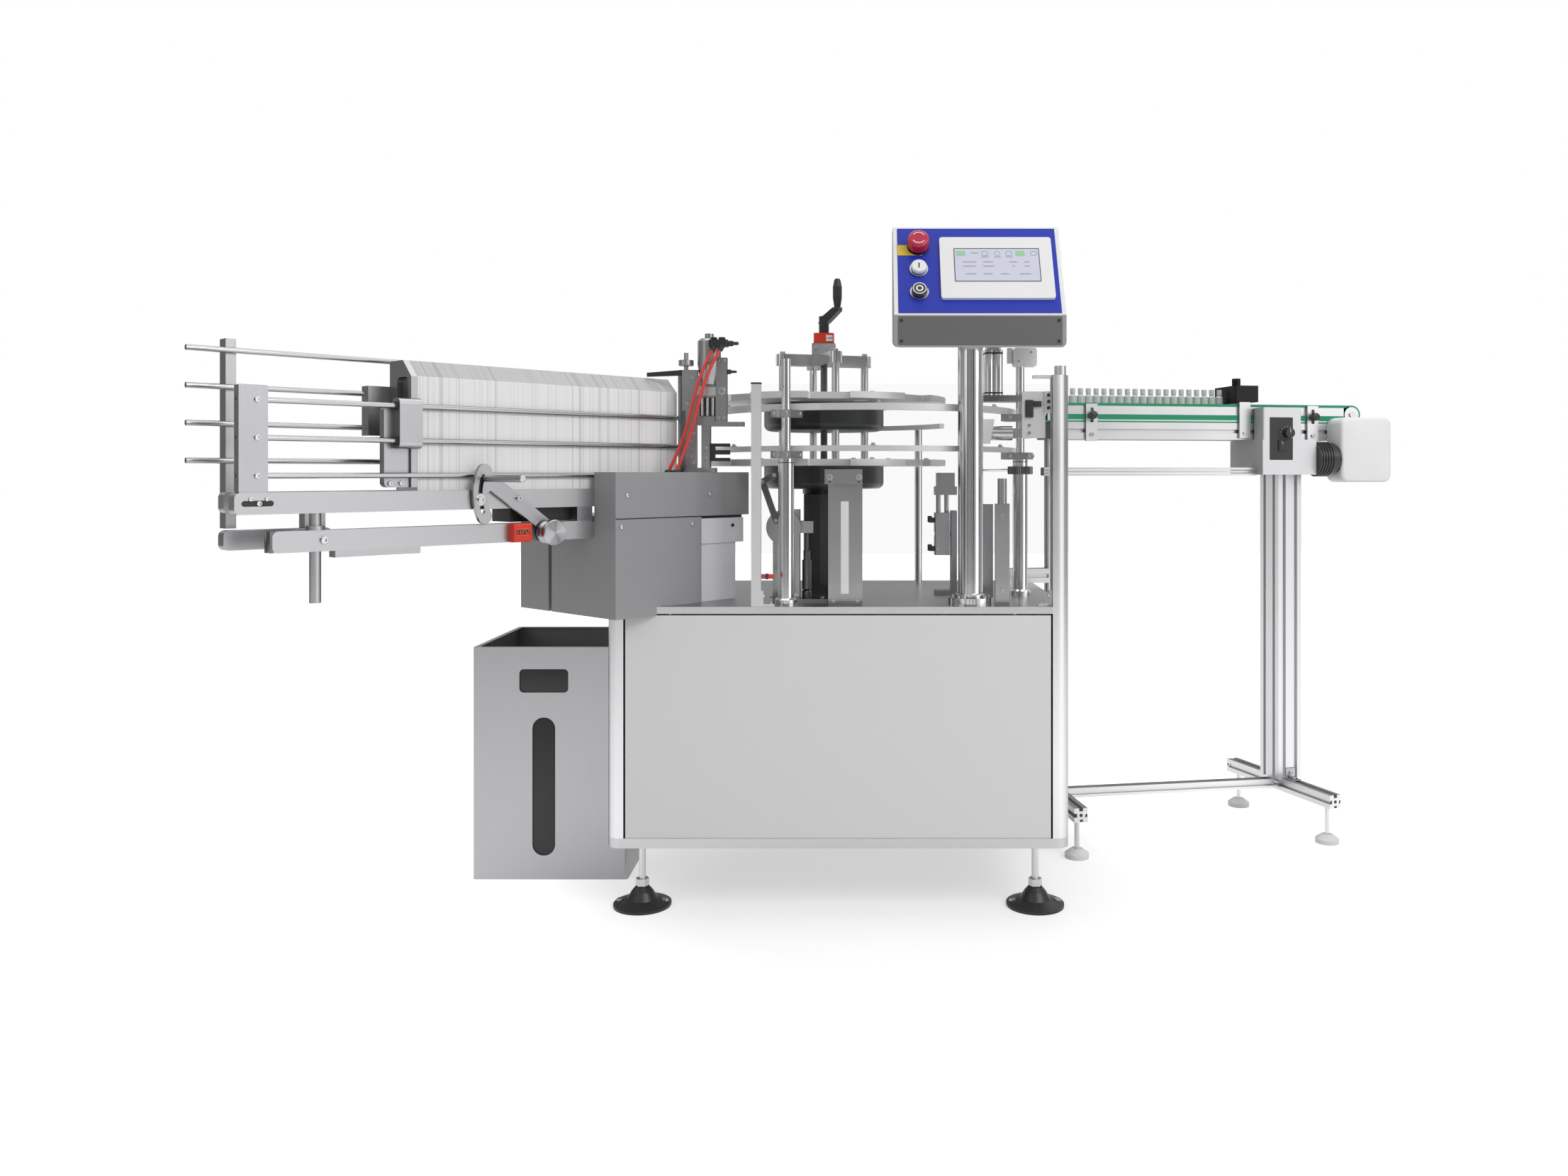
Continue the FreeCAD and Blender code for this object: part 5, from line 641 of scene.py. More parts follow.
class CartonerColors(bpy.types.PropertyGroup):
    """Base colours, as linear values"""
    steel: FloatVectorProperty(name="Stainless sheet", description="Bin and base",
                               default=(0.50, 0.50, 0.51), subtype="COLOR")
    deck: FloatVectorProperty(name="Deck", description="Deck plate",
                              default=(0.62, 0.62, 0.63), subtype="COLOR")
    aluminium: FloatVectorProperty(name="Aluminium", description="Anodised profiles",
                                   default=(0.68, 0.68, 0.69), subtype="COLOR")
    profile: FloatVectorProperty(name="Profiles", description="Stand profiles and beams",
                                 default=(0.46, 0.46, 0.47), subtype="COLOR")
    machined: FloatVectorProperty(name="Machined plates", description="Plates and brackets",
                                  default=(0.42, 0.42, 0.43), subtype="COLOR")
    chrome: FloatVectorProperty(name="Chrome", description="Rods and posts",
                                default=(0.86, 0.86, 0.87), subtype="COLOR")
    picker: FloatVectorProperty(name="Picker steel", description="Slides and blocks of the picker",
                                default=(0.42, 0.42, 0.43), subtype="COLOR")
    screw: FloatVectorProperty(name="Screws", description="Screw heads",
                               default=(0.62, 0.62, 0.63), subtype="COLOR")
    panel: FloatVectorProperty(name="Panels", description="Cabinet panels",
                               default=(0.80, 0.80, 0.80), subtype="COLOR")
    cover: FloatVectorProperty(name="Covers", description="Magazine covers",
                               default=(0.32, 0.32, 0.33), subtype="COLOR")
    black: FloatVectorProperty(name="Black", description="Black parts",
                               default=(0.02, 0.02, 0.021), subtype="COLOR")
    white: FloatVectorProperty(name="White", description="White mouldings",
                               default=(0.88, 0.88, 0.88), subtype="COLOR")
    blue: FloatVectorProperty(name="Panel blue", description="Operator panel face",
                              default=(0.006, 0.026, 0.42), subtype="COLOR")
    red: FloatVectorProperty(name="Stop red", description="Emergency stop",
                             default=(0.50, 0.015, 0.06), subtype="COLOR")
    orange: FloatVectorProperty(name="Counter orange", description="Position counters",
                                default=(0.78, 0.035, 0.01), subtype="COLOR")
    counter: FloatVectorProperty(name="Counter window", description="Window of the counters",
                                 default=(0.80, 0.10, 0.035), subtype="COLOR")
    yellow: FloatVectorProperty(name="Plate yellow", description="Plate by the stop",
                                default=(0.78, 0.55, 0.03), subtype="COLOR")
    tube: FloatVectorProperty(name="Tube red", description="Air tubes",
                              default=(0.72, 0.045, 0.03), subtype="COLOR")
    belt: FloatVectorProperty(name="Belt green", description="Belt",
                              default=(0.005, 0.28, 0.13), subtype="COLOR")
    bottle: FloatVectorProperty(name="Bottles", description="Bottles",
                                default=(0.62, 0.62, 0.61), subtype="COLOR")
    board: FloatVectorProperty(name="Carton board", description="Carton stack",
                               default=(0.92, 0.92, 0.92), subtype="COLOR")
    bezel: FloatVectorProperty(name="Bezel", description="Screen frame",
                               default=(0.88, 0.88, 0.88), subtype="COLOR")
    box: FloatVectorProperty(name="Panel box", description="Sides of the operator panel",
                             default=(0.36, 0.36, 0.37), subtype="COLOR")
    # Painted shade: the lip's dark grey stands for the shade on the operator panel's front lip
    lip: FloatVectorProperty(name="Panel lip", description="Front lip of the operator panel",
                             default=(0.14, 0.14, 0.145), subtype="COLOR")
    dark: FloatVectorProperty(name="Dark steel", description="Spindle and knurled parts",
                              default=(0.16, 0.16, 0.165), subtype="COLOR")
    green: FloatVectorProperty(name="Display green", description="Lit fields",
                               default=(0.35, 0.62, 0.40), subtype="COLOR")
    ink: FloatVectorProperty(name="Display ink", description="Lines on the display",
                             default=(0.22, 0.23, 0.33), subtype="COLOR")
    display: FloatVectorProperty(name="Display", description="Lit display",
                                 default=(0.48, 0.49, 0.58), subtype="COLOR")
    clear: FloatVectorProperty(name="Clear sheet", description="Guard sheet",
                               default=(0.25, 0.27, 0.27), subtype="COLOR")


class CARTONER_OT_finishes(bpy.types.Operator):
    """Make the materials and give each part of the frame its own, in place of the bare one it came with"""
    bl_idname = "cartoner.finishes"
    bl_label = "Finishes"

    def execute(self, context):
        colors = context.scene.cartoner_colors
        for node in frame["nodes"].values():
            node.data.materials.clear()
        for bare in list(bpy.data.materials):
            bpy.data.materials.remove(bare)
        for make in (wear_effect, lines_effect, speckle_effect):
            make()
        for make in (steel_finishes, paint_finishes, screen_finish, clear_finish):
            make(colors)
        slots = {entry["node"]: entry["material_slot"] for entry in frame["record"]["subparts"]}
        for name, node in frame["nodes"].items():
            node.data.materials.append(bpy.data.materials[OWN_FINISH.get(name, slots[name])])
        return {"FINISHED"}


# Cords: the points that the two air tubes follow, as in the part's source, in millimetres on the cabinet, and the
# tubes' radius

TUBE_ROUTES = [[(-228, 86, 986), (-245.5, 79, 950), (-261, 74, 891), (-276.5, 67, 822), (-302, 62, 768.7)],
               [(-214, 85, 986), (-232, 77, 952), (-247, 69, 901), (-262, 60, 833), (-287, 55, 768.7)]]
TUBE_RADIUS = 3


class CARTONER_OT_tubes(bpy.types.Operator):
    """Lay the two air tubes from their sockets to the cover"""
    bl_idname = "cartoner.tubes"
    bl_label = "Air tubes"

    def execute(self, context):
        for number, route in enumerate(TUBE_ROUTES, 1):
            places = (np.array(route) + CABINET[:3, 3]) * MM
            curve = bpy.data.curves.new("air_tube_%d" % number, "CURVE")
            curve.dimensions = "3D"
            curve.bevel_depth = TUBE_RADIUS * MM
            curve.bevel_resolution = 5
            curve.resolution_u = 16
            curve.use_fill_caps = True
            spline = curve.splines.new("NURBS")
            spline.points.add(len(places) - 1)
            spline.points.foreach_set("co", np.column_stack([places, np.ones(len(places))]).ravel())
            spline.order_u = 3
            spline.use_endpoint_u = True
            curve.materials.append(bpy.data.materials["tube_red"])
            piece = bpy.data.objects.new("air_tube_%d" % number, curve)
            context.scene.collection.objects.link(piece)
            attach(piece, "machine")
            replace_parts(piece, "air_tubes")
        return {"FINISHED"}


# Fittings, each group in the frame of the part that carries it

FRONT = turn("x", 90)
LEFT = turn("y", -90)
RIGHT = turn("y", 90)
BACK = turn("x", -90)


def on_front(place, spots, y):
    """Places on a face that looks to the front of a frame, from (x, z) spots."""
    return [place @ move(x, y, z) @ FRONT for x, z in spots]


def on_top(place, spots, z):
    """Places on a face that looks up, from (x, y) spots."""
    return [place @ move(x, y, z) for x, y in spots]


def ring_spots(radius, angles):
    """Points on a circle at given angles in degrees."""
    return [(radius * math.cos(math.radians(a)), radius * math.sin(math.radians(a))) for a in angles]


WASHER_HEIGHT = 1.1


def screws(name, places, radius, height, material="screw_steel", body="machine", washer=0.0):
    """Socket screws at several places, on washers where one is given."""
    seats = [place @ move(0, 0, WASHER_HEIGHT) for place in places] if washer else places
    shapes = [several(cap_screw(radius, height), seats)]
    if washer:
        shapes.append(several(disc(washer, WASHER_HEIGHT), places))
    build(name, together(shapes), material, body)


def round_bar(radius, length, chamfer=0.4, sides=20):
    """Round bar along Z with its rims broken."""
    return turned([(0, 0), (radius - chamfer, 0), (radius, chamfer), (radius, length - chamfer),
                   (radius - chamfer, length), (0, length)], sides)


def ring(inner, outer, height, sides=40):
    """Flat ring: its section is carried round Z and closed on itself."""
    return turned([(inner, 0), (outer, 0), (outer, height), (inner, height), (inner, 0)], sides)


def window_frame(width, depth, line, height, radius=2.0):
    """Flat frame: outer and inner rounded outlines at two levels, closed on itself."""
    outer = rounded(width, depth, radius)
    inner = rounded(width - 2 * line, depth - 2 * line, max(radius - line, 0.2))
    rows = [laid(inner, 0), laid(outer, 0), laid(outer, height), laid(inner, height), laid(inner, 0)]
    return np.concatenate(rows), grid_quads(len(rows), len(outer))


def knurled(radius, height, ridges, depth):
    """Knurled rim: radius + depth times the cosine of ridges times the angle."""
    sides = ridges * 4
    ribbed = radius + depth * np.cos(ridges * around(sides))
    root = radius - 2 * depth
    return turned([(0, 0), (root, 0), (ribbed, depth), (ribbed, height - depth), (root, height), (0, height)],
                  sides)


def thread(root, crest, pitch, length, sides=24):
    """Screw thread: the radius rises and falls with height / pitch less the turn of the angle."""
    rows = int(length / pitch * 6) + 1
    z = np.linspace(0, length, rows)
    t = around(sides)
    phase = (z[:, None] / pitch - t[None, :] / (2 * np.pi)) % 1
    radius = root + (crest - root) * np.clip(2.2 * (1 - np.abs(2 * phase - 1)), 0, 1)
    return turned([(0, 0), *zip(radius, z), (0, length)], sides)


# Counter figures: each digit's strokes, and each stroke's middle in half heights and whether it lies level

SEGMENTS = {"0": "abcdef", "1": "bc", "2": "abged", "3": "abgcd", "4": "fgbc", "5": "afgcd"}
STROKES = {"a": (0, 1, 1), "b": (0.5, 0.5, 0), "c": (0.5, -0.5, 0), "d": (0, -1, 1), "e": (-0.5, -0.5, 0),
           "f": (-0.5, 0.5, 0), "g": (0, 0, 1)}


def digits(text, height, line, step):
    """Counter figures of up to seven strokes each, side by side about the origin."""
    shapes = []
    half = height / 2 - line / 2
    for number, figure in enumerate(text):
        x = (number - (len(text) - 1) / 2) * step
        for key in SEGMENTS[figure]:
            across, up, lies_level = STROKES[key]
            size = (half + line / 2, line) if lies_level else (line, half + line / 2)
            stroke = slab(*size, 0.3, line * 0.3, 0.05)
            shapes.append(put(stroke, move(x + across * half, up * half, 0)))
    return together(shapes)


class CARTONER_OT_cabinet(bpy.types.Operator):
    """Bolts of the levelling feet and of the post flange"""
    bl_idname = "cartoner.cabinet"
    bl_label = "Cabinet bolts"

    def execute(self, context):
        sizes = context.scene.cartoner_sizes
        base_top = 5
        bolt_reach = 39
        washer_height = 1.4
        feet = [(x + side * bolt_reach, y) for x in (-348, 348) for y in (60, 440) for side in (-1, 1)]
        nut = put(prism(hexagon(6.6), 5.5, 0.5), move(0, 0, washer_height))
        bolt = together([disc(9, washer_height), nut])
        build("foot_bolts", several(bolt, on_top(CABINET, feet, base_top)), "screw_steel")
        post = CABINET @ move(233, 54, 0)
        flange_top = 547
        screw_ring = ring_spots(32, (15, 45, 135, 165, 195, 225, 315, 345))
        screws("flange_screws", on_top(post, screw_ring, flange_top), sizes.small_screw / MM, 3.4)
        collar = turned([(22.3, 0), (27, 0), (27, 5), (24, 7), (22.3, 7), (22.3, 0)], 40)
        build("post_collar", put(collar, post @ move(0, 0, flange_top)), "chrome_bar")
        return {"FINISHED"}


class CARTONER_OT_bin(bpy.types.Operator):
    """Painted shade: black plates behind the window and the slot of the bin, for the shade inside it"""
    bl_idname = "cartoner.bin"
    bl_label = "Bin opening shade"

    def execute(self, context):
        front, back = 192.2, 193.2
        window = bar(-612, front, 340, -504, back, 408, 3.0, 0.2)
        slot = bar(-588, front, 38, -528, back, 312, 3.0, 0.2)
        build("bin_opening_shade", put(together([window, slot]), CABINET), "black_plastic")
        return {"FINISHED"}


class CARTONER_OT_operator_panel(bpy.types.Operator):
    """Border, lip, display, plate and button rings of the operator panel"""
    bl_idname = "cartoner.operator_panel"
    bl_label = "Operator panel"

    def execute(self, context):
        edge, inner, top = 150, 142.3, 192.6
        foot, face = 0.1, 1.0
        border = [bar(-edge, 0, foot, -inner, top, face), bar(inner, 0, foot, edge, top, face),
                  bar(-inner, -0.5, foot, inner, 3.7, face), bar(-inner, 189.3, foot, inner, top, face)]
        build("panel_border", put(together(border), FACE), "white_plastic")
        # Painted shade: a dark grey plate over the panel's lip
        build("panel_lip", put(slab(286, 50, face, 2.5), FACE_LIP), "lip_painted_shade")
        lip_places = [FACE_LIP @ move(x, y, face) for x in (-137, 137) for y in (-18, 18)]
        screws("lip_screws", lip_places, 2.6, 1.8, "black_plastic")
        self.dress_display(FACE @ move(33, 98, 8))
        self.dress_buttons(FACE @ move(-105, 0, 0))
        return {"FINISHED"}

    def dress_display(self, screen):
        """Lit field with a black frame round it, painted shadow of the recess it lies in, and the squares, frames
        and lines drawn on it.
        """
        field = screen @ move(1, 5, 0)
        build("display", put(slab(150, 71, 0.25, 1.0, 0.1), field), "display_glow")
        build("display_edge_shade", put(window_frame(152.4, 73.4, 1.3, 0.5, 1.5), field), "black_plastic")
        mark_foot, mark_height = 0.26, 0.1
        icon_row = 30
        squares = [put(slab(16.5, 12, mark_height, 0.8, 0.04), screen @ move(x, icon_row, mark_foot))
                   for x in (-63, 43)]
        build("display_squares", together(squares), "display_green")
        icons = [put(window_frame(11, 10, 0.8, mark_height, radius), screen @ move(x, icon_row, mark_foot))
                 for x, radius in ((-20, 1.5), (2, 4.9), (23, 1.5), (67, 3))]
        rows = {31: [(-38, 14)], 22: [(-20, 13), (2, 12), (23, 12)],
                11: [(-48, 24), (-15, 18), (30, 14), (54, 9)],
                2: [(-48, 22), (-14, 20), (30, 5), (54, 9)], -15: [(-46, 18), (-16, 16), (14, 16), (50, 20)]}
        lines = [put(slab(width, 1.5, mark_height, 0.4, 0.04), screen @ move(x, y, mark_foot))
                 for y, row in rows.items() for x, width in row]
        build("display_marks", together(icons + lines), "display_ink")

    def dress_buttons(self, column):
        """Plate, rims and marks of the stop, start and halt buttons, which stand in one column, and a black ring
        of painted shadow round the stop's head.
        """
        stop, start, halt = 149, 97, 47
        skin = 2.0
        build("stop_plate", put(slab(44, 23, 0.3, 1.0, 0.1), column @ move(-15, 140, skin)), "yellow_plate")
        rims = [put(ring(13.9, 16.5, 3.0), column @ move(0, up, skin)) for up in (start, halt)]
        build("button_rims", together(rims), "screw_steel")
        # Painted shadow round the stop's head
        build("stop_shadow_ring", put(ring(8.4, 20.5, 0.6), column @ move(0, stop, 2.3)), "black_plastic")
        arcs = [put(arc_strip(11.5, 1.5, first, first + 115, 0.35), column @ move(0, stop, 26.75))
                for first in (30, 210)]
        build("stop_arcs", together(arcs), "white_plastic", "stop_head")
        start_mark = put(slab(2.4, 11, 0.3, 0.5, 0.1), column @ move(0, start, 14.85))
        build("start_mark", start_mark, "black_plastic", "start_head")
        halt_marks = [put(ring(inner, outer, 0.3), column @ move(0, halt, 14.9))
                      for inner, outer in ((4.0, 6.6), (10.4, 12.0))]
        build("halt_rings", together(halt_marks), "white_plastic", "halt_head")


class CARTONER_OT_guard(bpy.types.Operator):
    """Cap, screws, hook and short tube of the clear guard"""
    bl_idname = "cartoner.guard"
    bl_label = "Guard fittings"

    def execute(self, context):
        sizes = context.scene.cartoner_sizes
        build("guard_cap", put(bar(-150.6, 1.4, 919, -132.4, 12.6, 922), CABINET), "black_plastic")
        screws("sheet_screws", on_front(CABINET, [(363, z) for z in (900, 889, 878)], 4), 3.0, 2.4,
               "black_plastic")
        hook_front, hook_back = 8.9, 13
        screws("hook_screws", on_front(CABINET, [(331, z) for z in (848, 835)], hook_back), 2.8, 2.4)
        hook = [bar(324, hook_front, 862, 338, hook_back, 892, 2.5),
                bar(338, hook_front, 880, 352, hook_back, 890, 2.5)]
        build("guard_hook", put(together(hook), CABINET), "black_plastic")
        angle_foot, angle_height = 539, 553
        ups = on_top(CABINET, [(353, 17), (-116, 7)], angle_foot)
        sides = [CABINET @ move(366, 17, angle_height) @ LEFT, CABINET @ move(-129, 7, angle_height) @ RIGHT]
        screws("angle_screws", ups + sides, sizes.small_screw / MM, 3.0)
        stub_y, stub_z = 17, 586
        build("tube_stub", put(round_bar(4.2, 37), CABINET @ move(-148, stub_y, stub_z) @ RIGHT), "tube_red")
        tie = put(ring(4.0, 5.2, 4.5, 24), CABINET @ move(-126, stub_y, stub_z) @ RIGHT)
        build("tube_tie", tie, "black_plastic")
        return {"FINISHED"}


class CARTONER_OT_turret(bpy.types.Operator):
    """Screws of the star wheels, the spindle's thread and the counter's window"""
    bl_idname = "cartoner.turret"
    bl_label = "Turret fittings"

    def execute(self, context):
        sizes = context.scene.cartoner_sizes
        pockets = 8
        step = 360 / pockets
        angles = [-86 + step / 2 + step * k for k in range(pockets)]
        spots = ring_spots(210, angles) + ring_spots(133, angles)
        lower_top, upper_top, cross_top = 791, 912, 998
        screws("lower_star_screws", on_top(TURRET, spots, lower_top), 4.2, 3.2, body="turret")
        screws("upper_star_screws", on_top(TURRET, spots, upper_top), 4.2, 3.2, body="star_lift")
        columns = ring_spots(84, (17, 107, 197, 287))
        screws("cross_screws", on_top(TURRET, columns, cross_top), 5.2, 4.6, body="turret", washer=7.5)
        block = on_front(TURRET, [(6, 1010), (-14, 1010)], -23)
        screws("block_screws", block, 3.6, 2.6, body="turret", washer=5.4)
        spindle = put(thread(5.9, 7.0, sizes.thread_pitch / MM, 250), TURRET @ move(0, 0, lower_top + 0.4))
        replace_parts(build("spindle", spindle, "dark_steel", "crank_drive", 60.0), "lead_screw")
        self.dress_counter(TURRET @ move(11, 0, 1030.5))
        base = put(slab(44, 44, 3.0, 4.0), TURRET @ move(0, 0, 1018.0))
        build("counter_base", base, "black_plastic", "turret")
        grip = turned([(0, 0), (4.6, 0), (5.4, 1.5), (4.6, 3.0), (0, 3.0)], 24)
        handle = TURRET @ turn("z", -30) @ move(31, 0, 1144.6)
        build("grip_cap", put(grip, handle), "black_plastic", "crank_drive")
        return {"FINISHED"}

    def dress_counter(self, counter):
        """White window on the counter's front with its figures."""
        window = put(slab(13, 12, 0.5, 1.5, 0.2), counter @ move(0, -20, 0) @ FRONT)
        build("counter_window", window, "white_plastic", "turret")
        figures = put(digits("01250", 3.2, 0.5, 2.4), counter @ move(0, -20.5, 0) @ FRONT)
        build("counter_figures", figures, "black_plastic", "turret")


class CARTONER_OT_columns(bpy.types.Operator):
    """Clamp screws, grooves, knurled collar and clips of the guide rings, with black of painted shade in the
    grooves and in the clamps' slots
    """
    bl_idname = "cartoner.columns"
    bl_label = "Guide columns"

    def execute(self, context):
        self.dress_clamps(context.scene.cartoner_sizes.small_screw / MM)
        left, right = CABINET @ move(*LEFT_COLUMN, 0), CABINET @ move(*RIGHT_COLUMN, 0)
        groove = ring(13.6, 14.2, 1.3)
        grooves = [put(groove, left @ move(0, 0, 783)), put(groove, right @ move(0, 0, 786))]
        build("column_groove_shade", together(grooves), "black_plastic")
        foot = turned([(14.2, 0), (20, 0), (20, 9), (17, 12), (14.2, 12), (14.2, 0)], 40)
        feet = [column @ move(0, 0, DECK_TOP) for column in (right, left)]
        build("column_foot", several(foot, feet), "chrome_bar")
        build("knurled_collar", put(knurled(23, 15, 40, 0.6), right @ move(0, 0, 763)), "dark_steel",
              crease=50.0)
        build("collar_rod", put(round_bar(2.4, 46), right @ move(-70, 0, 771) @ RIGHT), "chrome_bar")
        self.dress_rings(CABINET @ move(*TURRET_AXIS, 0))
        return {"FINISHED"}

    def dress_clamps(self, screw_radius):
        """Screws of the four clamps, each turned towards the turret's axis, and black bars of painted shade in
        their slots.
        """
        places = []
        slots = []
        half_height = 6.5
        for (x, y), side in ((LEFT_COLUMN, -1), (RIGHT_COLUMN, 1)):
            toward = math.degrees(math.atan2(TURRET_AXIS[1] - y, TURRET_AXIS[0] - x))
            for z in (876, 804):
                clamp = CABINET @ move(x, y, z - half_height) @ turn("z", toward)
                places += [clamp @ move(-20, across, 0) @ LEFT for across in (-13, 13)]
                places += [clamp @ move(14, side * 20, 0) @ (BACK if side > 0 else FRONT)]
                slots += [put(bar(-20.2, -0.7, -6.6, -8.5, 0.7, 6.6), clamp)]
        screws("clamp_screws", places, screw_radius, 3.2)
        build("clamp_slot_shade", together(slots), "black_plastic")

    def dress_rings(self, centre):
        """Clips with their screws on both guide rings."""
        radius = 294
        lower_top, upper_top = 814, 888
        clips = on_top(centre, ring_spots(radius, (215, 273, 330)), lower_top)
        clips += on_top(centre, ring_spots(radius, (210, 275, 325)), upper_top)
        plate = put(slab(11, 9, 1.6, 1.5), move(0, 0, -0.05))
        build("ring_clips", several(plate, clips), "machined_aluminium")
        screws("ring_screws", [clip @ move(0, 0, 1.5) for clip in clips], 3.2, 3.4)


class CARTONER_OT_deck(bpy.types.Operator):
    """Screws, strip and disc faces of the brackets and cylinders on the deck"""
    bl_idname = "cartoner.deck"
    bl_label = "Deck brackets"

    def execute(self, context):
        small_screw = context.scene.cartoner_sizes.small_screw / MM
        self.dress_front_bracket()
        self.dress_cam()
        bracket_top = 541
        screws("bracket_screws", on_top(CABINET, [(x, 89) for x in (-122, -78, -30)], bracket_top),
               small_screw, 3.0)
        self.dress_cylinders()
        clevis_front = 28
        screws("clevis_screws", on_front(CABINET, [(286.5, 560), (286.5, 690)], clevis_front), 3.4, 3.0)
        bundle = [(290 + dx, 206 + dy) for dx in (-8.5, 8.5) for dy in (-8.5, 8.5)]
        bands = several(ring(8.8, 9.4, 3.0, 28), on_top(CABINET, bundle, 915) + on_top(CABINET, bundle, 990))
        build("bundle_bands", bands, "black_plastic")
        screws("sensor_screws", on_front(CABINET, [(336, 975), (360, 992)], 184), 2.4, 1.6)
        return {"FINISHED"}

    def dress_front_bracket(self):
        """Screws, black discs of painted shade in the screw holes, and the white strip of the bracket at the front
        of the deck.
        """
        left, right = -15, 36
        head_front, foot_front = 28, 34
        head = on_front(CABINET, [(left, 758.5), (right, 758.5)], head_front)
        screws("head_screws", head, 4.4, 3.2, washer=6.0)
        screws("foot_screws", on_front(CABINET, [(-9, 541), (33, 541)], foot_front), 3.4, 3.0)
        holes = on_front(CABINET, [(left, 750), (right, 750)], head_front)
        build("head_hole_shade", several(disc(1.7, 0.15, 16), holes), "black_plastic")
        build("white_strip", put(bar(4, 33.2, 554, 18, 34.1, 716), CABINET), "white_plastic")

    def dress_cam(self):
        """Hub, rings and screw on the front of the cam, and the screws of the levers by it."""
        hub = turned([(0, 0), (11, 0), (11, 2.5), (9.5, 3.2), (0, 3.2)], 32)
        cam = CABINET @ move(-98, 62, 669) @ FRONT
        rings = [ring(25.2, 26.4, 0.4), ring(29.0, 29.8, 0.4)]
        build("cam_face", put(together([hub, *rings]), cam), "machined_aluminium")
        screws("cam_screw", [cam @ move(0, 0, 3.2)], 4.6, 3.0)
        screws("lever_screws", on_front(CABINET, [(-135, 750), (-114, 762), (-111, 681)], 56.5), 3.4, 2.8)

    def dress_cylinders(self):
        """Screws and elbows of the cylinder at the right of the deck."""
        press = [(x, z) for z in (622, 678) for x in (184, 205)]
        screws("cylinder_screws", on_front(CABINET, press, 200), 2.6, 2.0)
        elbow = together([round_bar(5, 10), put(round_bar(4.2, 12), move(0, 0, 9) @ RIGHT @ move(0, 0, -4))])
        spots = [CABINET @ move(179, 210, z) @ LEFT for z in (622, 676)]
        build("cylinder_elbows", several(elbow, spots), "black_plastic")


class CARTONER_OT_picker(bpy.types.Operator):
    """Screws, slide, elbows, pin and grommets of the picker"""
    bl_idname = "cartoner.picker"
    bl_label = "Picker fittings"

    def execute(self, context):
        plate_front, block_front, upright_front = 98, 100, 93
        rail = [(-262, 836), (-267, 823), (-266, 809), (-266, 795), (-262, 784)]
        screws("rail_screws", on_front(CABINET, rail, plate_front), 3.0, 3.4)
        screws("face_screws", on_front(CABINET, [(-239, 809.5), (-239, 791.5)], upright_front), 3.6, 3.6)
        arm = [(-217.5, 864.5), (-207.5, 864.5), (-218.5, 969), (-207.5, 969)]
        screws("side_arm_screws", on_front(CABINET, arm, plate_front), 3.0, 2.6)
        screws("arm_bolt", on_front(CABINET, [(-211, 913)], plate_front), 5.6, 4.2, washer=8.6)
        screws("block_bolts", on_front(CABINET, [(-265, 937.5), (-275, 890)], block_front), 3.4, 3.0)
        cylinder = CABINET @ move(-236, 110, 0)
        screws("cap_screws", on_top(cylinder, ring_spots(13, (30, 120, 210, 300)), 1007.8), 2.2, 1.8)
        pin = turned([(0, 0), (4.4, 0), (4.4, 6), (2.6, 8), (2.2, 17), (0, 17.6)], 20)
        build("lock_pin", put(pin, CABINET @ move(-203, 106, 949) @ RIGHT), "black_plastic")
        valve = turned([(0, 0), (5.2, 0), (5.2, 9), (3.2, 11), (3.2, 17), (2.4, 20), (0, 20)], 20)
        build("flow_screw", put(valve, CABINET @ move(-201, 94, 999) @ RIGHT), "black_plastic")
        nut = prism(hexagon(6.2), 5, 0.4)
        build("socket_nuts", several(nut, on_top(CABINET, [(-226, 94), (-211, 94)], 1005)), "black_plastic")
        self.dress_slide()
        grommet = turned([(3.2, 0), (7.4, 0), (7.4, 1.6), (5.4, 4.4), (3.2, 4.4), (3.2, 0)], 28)
        exits = [route[-1][:2] for route in TUBE_ROUTES]
        build("tube_grommets", several(grommet, on_top(CABINET, exits, 767.05)), "black_plastic")
        return {"FINISHED"}

    def dress_slide(self):
        """Black plate of painted shade in the opening, with three bright rods, and the bright band over it."""
        back, right = 98.4, -223
        build("guide_recess_shade", put(bar(-252, 97.2, 868, right, back, 902, 0.3, 0.2), CABINET), "black_plastic")
        rods = [CABINET @ move(x, 96.6, 868.5) for x in (-247, -237.5, -228)]
        build("guide_rods", several(round_bar(2.3, 33.0), rods), "chrome_bar")
        build("guide_band", put(bar(-256, 95.6, 905, right, back, 921), CABINET), "post_aluminium")


